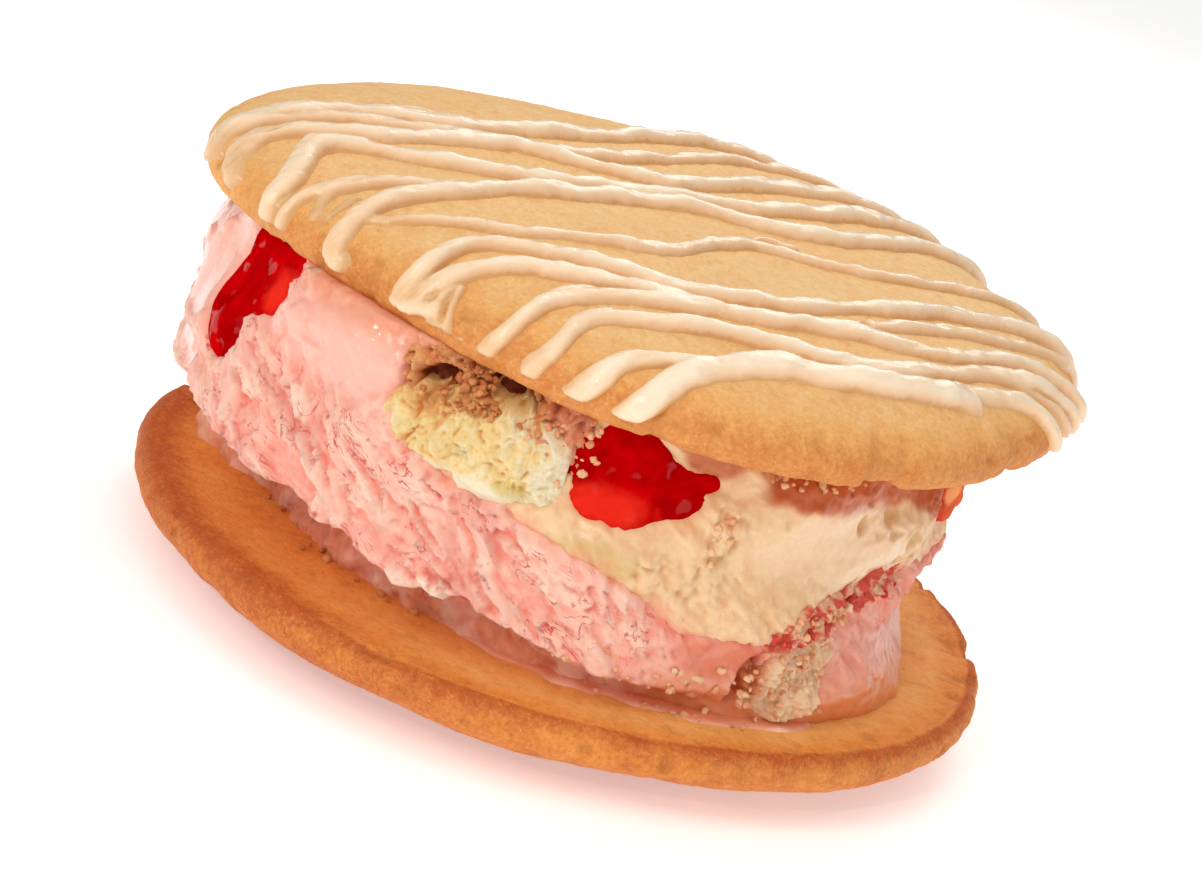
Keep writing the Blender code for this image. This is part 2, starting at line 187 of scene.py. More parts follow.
class Graph:
    """Builds one material's nodes; colours are given as the screen's 0 to 255 values."""

    def __init__(self, name: str) -> None:
        """Starts a material with one Principled shader and coordinates in millimetres."""
        self.material = bpy.data.materials.new(name)
        self.material.use_nodes = True
        self.tree = self.material.node_tree
        self.shader = self.tree.nodes["Principled BSDF"]
        coordinates = self.tree.nodes.new("ShaderNodeTexCoord")
        scale = self.tree.nodes.new("ShaderNodeVectorMath")
        scale.operation = "SCALE"
        scale.inputs["Scale"].default_value = 1.0 / MM
        self.tree.links.new(coordinates.outputs["Object"], scale.inputs[0])
        self.where = scale.outputs[0]

    def plug(self, socket: bpy.types.NodeSocket, value: object) -> None:
        """Links a node's output to a socket, or sets the socket's own value."""
        if isinstance(value, bpy.types.NodeSocket):
            self.tree.links.new(value, socket)
        elif isinstance(value, tuple) and len(value) == 3 and socket.type == "RGBA":
            socket.default_value = (*linear(value), 1.0)
        else:
            socket.default_value = value

    def attribute(self, name: str) -> bpy.types.NodeSocket:
        """Reads one of the mesh's own values."""
        node = self.tree.nodes.new("ShaderNodeAttribute")
        node.attribute_name = name
        return node.outputs["Fac"]

    def places(self, name: str) -> bpy.types.NodeSocket:
        """Reads the mesh's own places, in millimetres, at which noises can be read."""
        node = self.tree.nodes.new("ShaderNodeAttribute")
        node.attribute_name = name
        return node.outputs["Vector"]

    def noise(self, size: float, detail: float = 3.0, rough: float = 0.55, bend: float = 0.0,
              where: object = None) -> bpy.types.NodeSocket:
        """Noise with lumps of a size in millimetres, from 0 to 1."""
        node = self.tree.nodes.new("ShaderNodeTexNoise")
        node.inputs["Scale"].default_value = 1.0 / size
        node.inputs["Detail"].default_value = detail
        node.inputs["Roughness"].default_value = rough
        node.inputs["Distortion"].default_value = bend
        self.tree.links.new(self.where if where is None else where, node.inputs["Vector"])
        return node.outputs["Fac"]

    def grains(self, size: float) -> bpy.types.NodeSocket:
        """Distance to the nearest grain's middle, for grains of a size in millimetres."""
        node = self.tree.nodes.new("ShaderNodeTexVoronoi")
        node.inputs["Scale"].default_value = 1.0 / size
        self.tree.links.new(self.where, node.inputs["Vector"])
        return node.outputs["Distance"]

    def spread(self, value: object, low: float, high: float, start: float = 0.0,
               end: float = 1.0) -> bpy.types.NodeSocket:
        """Stretches low to high over start to end, held at both."""
        node = self.tree.nodes.new("ShaderNodeMapRange")
        node.clamp = True
        for name, given in (("Value", value), ("From Min", low), ("From Max", high),
                            ("To Min", start), ("To Max", end)):
            self.plug(node.inputs[name], given)
        return node.outputs["Result"]

    def maths(self, operation: str, first: object, second: object = 0.0) -> bpy.types.NodeSocket:
        """One sum of two numbers."""
        node = self.tree.nodes.new("ShaderNodeMath")
        node.operation = operation
        self.plug(node.inputs[0], first)
        self.plug(node.inputs[1], second)
        return node.outputs[0]

    def mix(self, share: object, first: object, second: object, way: str = "MIX") -> bpy.types.NodeSocket:
        """Mixes two colours by a share."""
        node = self.tree.nodes.new("ShaderNodeMix")
        node.data_type = "RGBA"
        node.blend_type = way
        self.plug(node.inputs["Factor"], share)
        self.plug(node.inputs[6], first)
        self.plug(node.inputs[7], second)
        return node.outputs[2]

    def bump(self, height: object, depth: float, strength: float = 1.0, under: object = None) -> bpy.types.NodeSocket:
        """Bump of a depth in millimetres, over another bump where one is given."""
        node = self.tree.nodes.new("ShaderNodeBump")
        node.inputs["Strength"].default_value = strength
        node.inputs["Distance"].default_value = depth * MM
        self.plug(node.inputs["Height"], height)
        if under is not None:
            self.plug(node.inputs["Normal"], under)
        return node.outputs[0]

    def finish(self, **sockets: object) -> bpy.types.Material:
        """Sets the shader's sockets, named with underscores for spaces, and gives the material."""
        for name, value in sockets.items():
            self.plug(self.shader.inputs[name.replace("_", " ")], value)
        return self.material


def linear(colour: Colour) -> tuple[float, float, float]:
    """Screen colour from 0 to 255 as linear light: the screen's own curve undone."""
    share = np.array(colour) / 255.0
    return tuple(float(v) for v in np.where(share <= 0.04045, share / 12.92, ((share + 0.055) / 1.055) ** 2.4))


@dataclass(frozen=True)
class BiscuitFinish:
    """Baked sugar dough: sandy, dull, browner where the mesh says so."""

    name: str
    pale: Colour
    golden: Colour
    browned: Colour
    speck: Colour
    grain_depth: float = 0.10

    def build(self) -> bpy.types.Material:
        """Mixes pale, golden and browned by the bake value, with sandy specks and grain, and pits darkened as painted
        shade.
        """
        g = Graph(self.name)
        bake = g.attribute("bake")
        mottled = g.maths("ADD", bake, g.spread(g.noise(2.6, 4.0, 0.65), 0.3, 0.7, -0.10, 0.10))
        fine = g.maths("ADD", mottled, g.spread(g.noise(0.55, 3.0, 0.75), 0.3, 0.7, -0.16, 0.16))
        colour = g.mix(g.spread(fine, 0.0, 0.5), self.pale, self.golden)
        colour = g.mix(g.spread(fine, 0.5, 1.0), colour, self.browned)
        specks = g.spread(g.noise(0.45, 2.0, 0.8), 0.60, 0.75)
        colour = g.mix(g.maths("MULTIPLY", specks, 0.35), colour, self.speck)
        light = g.spread(g.noise(0.36, 2.0, 0.8), 0.58, 0.75)
        colour = g.mix(g.maths("MULTIPLY", light, 0.40), colour, self.pale)
        # Painted shade: pits of the relief, by the deep value, darken toward the speck colour.
        colour = g.mix(g.maths("MULTIPLY", g.attribute("deep"), 0.35), colour, self.speck)
        sand = g.bump(g.noise(0.30, 3.0, 0.75), self.grain_depth)
        pits = g.bump(g.spread(g.grains(0.9), 0.0, 0.35), self.grain_depth * 0.8, under=sand)
        rough = g.spread(g.noise(1.2), 0.3, 0.7, 0.58, 0.78)
        return g.finish(Base_Color=colour, Roughness=rough, Normal=pits, Subsurface_Weight=0.12,
                        Subsurface_Radius=(0.0016, 0.0008, 0.0004), Specular_IOR_Level=0.35)


@dataclass(frozen=True)
class IcingFinish:
    """Set sugar icing: satin cream with tiny sparkles."""

    name: str
    crest: Colour
    body: Colour
    hollow: Colour

    def build(self) -> bpy.types.Material:
        """Paler on the crests, warmer in the valleys, where the lift value also carries painted shade between lines,
        with a fine sugary bump.
        """
        g = Graph(self.name)
        lift = g.maths("ADD", g.attribute("lift"), g.spread(g.noise(3.0, 3.0), 0.3, 0.7, -0.12, 0.12))
        # Low lift takes the hollow colour: thin icing showing the biscuit, and painted shade in the valleys between
        # lines.
        colour = g.mix(g.spread(lift, 0.0, 0.55), self.hollow, self.body)
        colour = g.mix(g.spread(lift, 0.55, 1.1), colour, self.crest)
        sugar = g.bump(g.noise(0.6, 3.0, 0.65), 0.045)
        grainy = g.spread(g.noise(5.0, 2.0), 0.45, 0.65)
        pitted = g.bump(g.maths("MULTIPLY", g.noise(0.3, 2.0, 0.7), grainy), 0.05, under=sugar)
        rough = g.spread(g.noise(0.9, 3.0, 0.7), 0.35, 0.7, 0.13, 0.30)
        return g.finish(Base_Color=colour, Roughness=rough, Normal=pitted, Subsurface_Weight=0.22,
                        Subsurface_Radius=(0.0012, 0.0008, 0.0005), Specular_IOR_Level=0.45)


@dataclass(frozen=True)
class IceCreamFinish:
    """Ice cream that is dull where it tore and glossy where it melts."""

    name: str
    pale: Colour
    body: Colour
    hollow: Colour
    stain: Colour
    melt_and_shade_colour: Colour
    tint: Colour
    gloss: float = 0.22
    cracks: float = 0.75

    def build(self) -> bpy.types.Material:
        """Mixes pale, body and hollow by depth, the hollows as painted shade and crests lightened as a painted
        highlight, then the tint, stains, cracks and the colour of melting ice cream, which also paints shadow under
        the upper biscuit.
        """
        g = Graph(self.name)
        drawn = g.places("drawn")
        soft = g.attribute("soft")
        torn = g.maths("SUBTRACT", 1.0, soft)
        streaks = g.noise(2.4, 5.0, 0.62, 0.4, drawn)
        colour = g.mix(g.maths("MULTIPLY", g.spread(streaks, 0.40, 0.62), g.spread(torn, 0.0, 1.0, 0.35, 1.0)),
                       self.pale, self.body)
        frost = g.spread(g.noise(0.8, 4.0, 0.75), 0.56, 0.72)
        colour = g.mix(g.maths("MULTIPLY", frost, g.spread(torn, 0.0, 1.0, 0.10, 0.45)), colour, self.pale)
        # Painted highlight: convex crests, by the crest value, are lightened toward the pale colour.
        colour = g.mix(g.maths("MULTIPLY", g.attribute("crest"), 0.60), colour, self.pale)
        colour = g.mix(g.attribute("tint"), colour, self.tint)
        # Painted shade: hollows of the relief, by the deep value, take the hollow colour.
        colour = g.mix(g.spread(g.attribute("deep"), 0.0, 1.0), colour, self.hollow)
        colour = g.mix(g.attribute("stain"), colour, self.stain)
        wander = g.maths("ABSOLUTE", g.maths("SUBTRACT", g.noise(3.0, 3.0, 0.6, 0.8, drawn), 0.5))
        lines = g.maths("MULTIPLY", g.spread(wander, 0.004, 0.016, 1.0, 0.0), torn)
        lines = g.maths("MULTIPLY", lines, g.spread(g.noise(4.5, 2.0), 0.50, 0.60))
        lines = g.maths("MULTIPLY", lines, self.cracks)
        colour = g.mix(lines, colour, self.stain)
        # This colour is laid where ice cream is melting, at the foot and on the lower biscuit, and as a painted shadow
        # under the upper biscuit.
        colour = g.mix(g.attribute("melt_and_shade"), colour, self.melt_and_shade_colour)
        rough = g.spread(soft, 0.0, 1.0, 0.62, self.gloss)
        rough = g.maths("ADD", rough, g.spread(g.noise(1.1, 3.0), 0.3, 0.7, -0.06, 0.08))
        fine = g.bump(g.maths("MULTIPLY", g.noise(0.7, 4.0, 0.72), torn), 0.14)
        flakes = g.bump(g.maths("MULTIPLY", g.noise(1.5, 4.0, 0.66, 0.3, drawn), torn), 0.22, under=fine)
        swell = g.bump(g.noise(3.0, 2.0), 0.26, under=flakes)
        wet = g.spread(soft, 0.5, 1.0, 0.0, 0.55)
        return g.finish(Base_Color=colour, Roughness=rough, Normal=swell, Subsurface_Weight=0.30,
                        Subsurface_Radius=(0.0018, 0.0009, 0.0006), Specular_IOR_Level=0.35,
                        Coat_Weight=wet, Coat_Roughness=0.05, Coat_Normal=swell)


@dataclass(frozen=True)
class SauceFinish:
    """Clear red gel, darker where it is deep."""

    name: str
    clear: Colour
    deep: Colour
    glow: Colour

    def build(self) -> bpy.types.Material:
        """Mixes clear, deep and glowing red by noise and the mesh's own thin value."""
        g = Graph(self.name)
        swirl = g.spread(g.noise(3.4, 2.0, 0.5, 0.8), 0.34, 0.66)
        colour = g.mix(swirl, self.deep, self.clear)
        thin = g.maths("ADD", g.attribute("thin"), g.spread(g.noise(1.6, 2.0, 0.5, 0.6), 0.3, 0.7, -0.18, 0.18))
        colour = g.mix(g.spread(thin, 0.15, 0.85), colour, self.glow)
        ripple = g.bump(g.noise(2.2, 2.0, 0.5), 0.20)
        glints = g.spread(g.noise(2.2, 1.0), 0.61, 0.66, 0.0, 0.45)
        return g.finish(Base_Color=colour, Roughness=0.10, Normal=ripple, Subsurface_Weight=0.20,
                        Subsurface_Radius=(0.0020, 0.0003, 0.0002), Specular_IOR_Level=0.0,
                        Coat_Weight=glints, Coat_Roughness=0.05, Coat_Normal=ripple)


@dataclass(frozen=True)
class CrumbFinish:
    """Open cake crumb, or loose crumbs with a tone of their own."""

    name: str
    pale: Colour
    body: Colour
    toasted: Colour
    stain: Colour
    gloss: float = 0.65

    def build(self) -> bpy.types.Material:
        """Mixes pale to toasted by the mesh's tone value, then the stain, over a porous bump."""
        g = Graph(self.name)
        tone = g.maths("ADD", g.attribute("tone"), g.spread(g.noise(0.9, 4.0, 0.7), 0.3, 0.7, -0.16, 0.16))
        colour = g.mix(g.spread(tone, 0.0, 0.5), self.pale, self.body)
        # For the cake, crumble and crumb bed the toasted end also carries painted shade in cavities and hollows.
        colour = g.mix(g.spread(tone, 0.5, 1.0), colour, self.toasted)
        colour = g.mix(g.attribute("stain"), colour, self.stain)
        pores = g.bump(g.noise(0.45, 4.0, 0.75), 0.30)
        return g.finish(Base_Color=colour, Roughness=self.gloss, Normal=pores, Subsurface_Weight=0.20,
                        Subsurface_Radius=(0.0010, 0.0006, 0.0003), Specular_IOR_Level=0.30)


def write_mesh(name: str, points: Array, quads: Array, triangles: Array, values: dict[str, Array],
               finish: object, replaced: Sequence[str] = ()) -> bpy.types.Object:
    """Makes a piece of the sandwich from arrays and ties it to the frame.

    Args:
        name: the piece's name.
        points: corners in millimetres, one row each.
        quads: corner numbers of the four-sided faces.
        triangles: corner numbers of the three-sided faces.
        values: the mesh's own values by name, one number a corner.
        finish: the finish that builds its material.
        replaced: the frame's solids that it stands for.

    Returns:
        The new object.
    """
    used = np.unique(np.concatenate((quads.ravel(), triangles.ravel())))
    renumber = np.zeros(len(points), np.int64)
    renumber[used] = np.arange(len(used))
    loops = np.concatenate((renumber[quads].ravel(), renumber[triangles].ravel())).astype(np.int32)
    starts = np.concatenate((np.arange(len(quads)) * 4, len(quads) * 4 + np.arange(len(triangles)) * 3))
    mesh = bpy.data.meshes.new(name)
    mesh.vertices.add(len(used))
    mesh.vertices.foreach_set("co", (points[used] * MM).astype(np.float32).ravel())
    mesh.loops.add(len(loops))
    mesh.loops.foreach_set("vertex_index", loops)
    mesh.polygons.add(len(starts))
    mesh.polygons.foreach_set("loop_start", starts.astype(np.int32))
    mesh.update(calc_edges=True)
    mesh.validate()
    for label, value in values.items():
        rows = np.asarray(value, np.float32).reshape(len(points), -1)[used]
        kind, field = ("FLOAT", "value") if rows.shape[1] == 1 else ("FLOAT_VECTOR", "vector")
        layer = mesh.attributes.new(label, kind, "POINT")
        layer.data.foreach_set(field, rows.ravel())
    mesh.shade_smooth()
    piece = bpy.data.objects.new(name, mesh)
    bpy.context.scene.collection.objects.link(piece)
    mesh.materials.append(finish.build())
    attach(piece, BODY)
    if replaced:
        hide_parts(*replaced)
    log.info("%s: %d corners, %d faces", name, len(used), len(starts))
    return piece


def closed_sheet(outer: Array, inner: Array, keep: Array, wrap: bool) -> tuple[Array, Array]:
    """Faces of a sheet with thickness whose holes and edges are walled.

    The outer and inner grids share their layout; a cell is drawn on both where keep says so,
    and each side of a drawn cell with no drawn neighbour gets a wall between the two. An outer
    cell starts at the corner from which its shorter diagonal runs, so that it folds along it.

    Args:
        outer: grid of outer points.
        inner: grid of inner points.
        keep: one truth value for each cell.
        wrap: whether the last column joins the first.

    Returns:
        All points, outer ones first, and the quads.
    """
    columns, rows = outer.shape[:2]
    for _ in range(3):
        ahead = np.roll(keep, -1, axis=0)
        a, b, c, d = keep[:, :-1], keep[:, 1:], ahead[:, :-1], ahead[:, 1:]
        touch = (a & d & ~b & ~c) | (b & c & ~a & ~d)
        if not wrap:
            touch[-1] = False
        keep[:, :-1] |= touch
        keep[:, 1:] |= touch
    i, j = np.nonzero(keep)
    after = (i + 1) % columns

    def number(column: Array, row: Array) -> Array:
        """Corner number on the outer grid."""
        return column * rows + row

    corners = np.stack((number(i, j), number(after, j), number(after, j + 1), number(i, j + 1)), axis=-1)
    shift = columns * rows
    flat = outer.reshape(-1, 3)
    across = np.linalg.norm(flat[corners[:, 0]] - flat[corners[:, 2]], axis=-1)
    other = np.linalg.norm(flat[corners[:, 1]] - flat[corners[:, 3]], axis=-1)
    turned = np.where((other < across)[:, None], np.roll(corners, 1, axis=1), corners)
    quads = [turned, corners[:, ::-1] + shift]
    edge = np.zeros((keep.shape[0] + 2, keep.shape[1] + 2), bool)
    edge[1:-1, 1:-1] = keep
    if wrap:
        edge[0, 1:-1], edge[-1, 1:-1] = keep[-1], keep[0]
    sides = ((0, -1, 0, 1), (1, 0, 1, 2), (0, 1, 2, 3), (-1, 0, 3, 0))
    for step_column, step_row, first, second in sides:
        open_side = ~edge[i + 1 + step_column, j + 1 + step_row]
        a, b = corners[open_side, first], corners[open_side, second]
        quads.append(np.stack((b, a, a + shift, b + shift), axis=-1))
    return np.vstack((outer.reshape(-1, 3), inner.reshape(-1, 3))), np.vstack(quads)


@dataclass(frozen=True)
class Biscuit:
    """A domed biscuit, turned from one profile round an uneven rim."""

    name: str
    thickness: float
    base: float
    dome_up: bool
    shift: tuple[float, float]
    waves: tuple[tuple[int, float, float], ...]
    finish: BiscuitFinish
    slot: str
    radius: float = 47.5
    edge_height: float = 2.2
    edge_tuck: float = 1.4
    rest_radius: float = 20.0
    sectors: int = 460
    dome_rings: int = 140
    rim_rings: int = 44
    inner_rings: int = 10
    chips: tuple[tuple[float, float, float], ...] = ()
    seed: int = 11

    def rim(self, angle: Array) -> Array:
        """Rim's radius as a share of the even one: one plus its waves round the rim."""
        share = np.ones_like(angle)
        for count, cosine, sine in self.waves:
            share += (cosine * np.cos(count * angle) + sine * np.sin(count * angle)) / self.radius
        return share

    def profile(self) -> tuple[Array, Array, Array]:
        """Lengths along the dome from its crown, with radius and height over the base.

        The dome's height falls as the root of one less the fourth power of the radius's share,
        and the last quarter ellipse tucks the edge in under the widest point.
        """
        share = 1 - np.linspace(1, 0, 400) ** 2
        height = self.edge_height + (self.thickness - self.edge_height) * np.sqrt(1 - share ** 4)
        turn = np.linspace(0, np.pi / 2, 24)[1:]
        radius = np.append(share * self.radius, self.radius - self.edge_tuck * (1 - np.cos(turn)))
        height = np.append(height, self.edge_height * (1 - np.sin(turn)))
        if not self.dome_up:
            height = np.where(radius < self.rest_radius, self.thickness, height)
        length = np.append(0.0, np.cumsum(np.hypot(np.diff(radius), np.diff(height))))
        return length, radius, height

    def dome(self, out: Array, angle: Array) -> tuple[Array, Array]:
        """Points and outward directions on the dome.

        Args:
            out: length over the dome from its crown.
            angle: angle round it.

        Returns:
            Points with the dome's broad unevenness, and unit normals.
        """
        length, radius, height = self.profile()
        sign = 1.0 if self.dome_up else -1.0
        reach = np.interp(out, length, radius) * self.rim(angle)
        rise = sign * np.interp(out, length, np.gradient(height, length))
        run = np.interp(out, length, np.gradient(radius, length))
        normal = np.stack((-sign * rise * np.cos(angle), -sign * rise * np.sin(angle), sign * run), axis=-1)
        normal /= np.linalg.norm(normal, axis=-1, keepdims=True)
        points = np.stack((self.shift[0] + reach * np.cos(angle), self.shift[1] + reach * np.sin(angle),
                           self.base + sign * np.interp(out, length, height)), axis=-1)
        calm = 1.0 if self.dome_up else smooth_step((reach - 24.0) / 8.0)
        swell = 0.30 * Noise(self.seed).layered(points, 13.0, 2) * calm
        return points + swell[..., None] * normal, normal

    def grids(self) -> tuple[Array, Array, Array, Array]:
        """Rings from the top's middle over the edge to the underside's middle.

        Returns:
            Points, normals, length from the crown or from the rim's corner, and a mark that is
            1 on the dome and 0 on the flat base.
        """
        angle = np.linspace(-np.pi, np.pi, self.sectors, endpoint=False)[None]
        length = self.profile()[0]
        out = np.linspace(0.0, length[-1], self.dome_rings + 1)[1:, None]
        points, normal = self.dome(np.broadcast_to(out, (len(out), self.sectors)), angle)
        inner = self.radius - self.edge_tuck
        reach = np.append(np.linspace(inner, 29.0, self.rim_rings)[1:], np.linspace(29.0, 0.0, self.inner_rings + 1)[1:-1])
        reach = reach[:, None] * self.rim(angle)
        flat = np.stack((self.shift[0] + reach * np.cos(angle), self.shift[1] + reach * np.sin(angle),
                         np.full(reach.shape, self.base)), axis=-1)
        down = np.zeros(flat.shape)
        down[..., 2] = -1.0 if self.dome_up else 1.0
        mark = np.concatenate((np.ones(points.shape[:2]), np.zeros(flat.shape[:2])))
        spread = np.concatenate((np.broadcast_to(out, points.shape[:2]), reach))
        return np.concatenate((points, flat)), np.concatenate((normal, down)), spread, mark

    def relief(self, points: Array, spread: Array, mark: Array) -> Array:
        """Sandy crumb everywhere and rough crags round the rim, in millimetres."""
        edge = np.where(mark > 0.5, smooth_step((spread - 44.0) / 5.0), smooth_step((spread - 41.0) / 5.0))
        sand = 0.10 * Noise(self.seed + 3).layered(points, 1.1, 3, 0.65)
        dents = -0.10 * smooth_step(Noise(self.seed + 9).layered(points, 4.0, 2) * 4 - 1.6)
        crags = 0.30 * (Noise(self.seed + 5).ridged(points, 3.4, 3) - 0.45)
        flaws = -0.45 * smooth_step(Noise(self.seed + 7).layered(points, 3.2, 2) * 5 - 2.2)
        angle = np.arctan2(points[..., 1] - self.shift[1], points[..., 0] - self.shift[0])
        broken = np.zeros(edge.shape)
        for degrees, half_width, depth in self.chips:
            away = np.angle(np.exp(1j * (angle - np.radians(degrees)))) * self.radius / half_width
            broken -= depth * smooth_step(1.4 - away) * smooth_step((away + 1.0) * 4)
        return sand + dents + edge * (crags + flaws + broken)

    def bake(self, points: Array, spread: Array, mark: Array) -> Array:
        """How browned each point is, from 0 to 1."""
        broad = Noise(self.seed + 21).layered(points, 16.0, 3)
        low = smooth_step((self.base + self.thickness - 1.6 - points[..., 2]) / 6.0)
        front = 0.5 + 0.5 * np.cos(np.arctan2(points[..., 1], points[..., 0]) - np.radians(-45.0))
        low = low * (0.25 + 0.75 * smooth_step(1.6 * front))
        return np.clip(0.18 + 0.10 * broad + 0.62 * low * mark + 0.30 * (1 - mark), 0, 1)

    def build(self) -> bpy.types.Object:
        """Makes the biscuit's finished surface."""
        points, normal, spread, mark = self.grids()
        relief = self.relief(points, spread, mark)
        if not self.dome_up:
            resting = smooth_step((spread - 24.0) / 6.0)
            relief = np.where(mark > 0.5, relief * resting, relief)
        bake = self.bake(points, spread, mark)
        # deep: how far each point lies in a pit of the relief, darkened by the finish as painted shade.
        deep = np.clip(cavity(relief, 6) / 0.10, 0, 1)
        points = points + relief[..., None] * normal
        first, last = points[0].mean(axis=0), points[-1].mean(axis=0)
        if not self.dome_up:
            first[2] = 0.0
        rings, sectors = points.shape[:2]
        ring, sector = np.meshgrid(np.arange(rings - 1), np.arange(sectors), indexing="ij")
        after = (sector + 1) % sectors
        quads = np.stack((ring * sectors + sector, (ring + 1) * sectors + sector,
                          (ring + 1) * sectors + after, ring * sectors + after), axis=-1).reshape(-1, 4)
        around = np.arange(sectors)
        next_one = (around + 1) % sectors
        head, tail = rings * sectors, rings * sectors + 1
        base_row = (rings - 1) * sectors
        triangles = np.vstack((np.stack((np.full(sectors, head), around, next_one), axis=-1),
                               np.stack((np.full(sectors, tail), base_row + next_one, base_row + around), axis=-1)))
        if not self.dome_up:
            quads, triangles = quads[:, ::-1], triangles[:, ::-1]
        everything = np.vstack((points.reshape(-1, 3), first, last))
        values = {"bake": np.append(bake.ravel(), (bake[0, 0], bake[-1, 0])),
                  "deep": np.append(deep.ravel(), (0.0, 0.0))}
        return write_mesh(self.name + "_baked", everything, quads, triangles, values, self.finish,
                          (self.name,))


@dataclass(frozen=True)
class LowerBiscuit(Biscuit):
    """The browned biscuit below, its flat base facing up round the ice cream."""

    def bake(self, points: Array, spread: Array, mark: Array) -> Array:
        """Brown ring at the corner, lighter side below it and a tan band by the ice cream."""
        angle = np.arctan2(points[..., 1], points[..., 0])
        broad = Noise(self.seed + 21).layered(points, 12.0, 3)
        blotch = Noise(self.seed + 23).layered(points, 4.0, 3)
        left = smooth_step((np.cos(angle - np.radians(-165.0)) - 0.2) / 0.7)
        flat = 0.12 + 0.44 * smooth_step((spread - 41.5) / 4.0) - 0.10 * smooth_step((36.0 - spread) / 8.0)
        side = 0.94 - 0.24 * smooth_step((self.base - points[..., 2]) / 1.6)
        side = side + 0.22 * smooth_step((self.base - 3.6 - points[..., 2]) / 3.0)
        tone = np.where(mark > 0.5, side, flat) + left * np.where(mark > 0.5, 0.18, 0.36)
        return np.clip(tone + 0.10 * broad + 0.10 * blotch, 0, 1)


@dataclass(frozen=True)
class Strand:
    """One piped line: its width, its near and far end and its places across the stroke."""

    width: float
    near: float
    far: float
    places: tuple[float, ...]


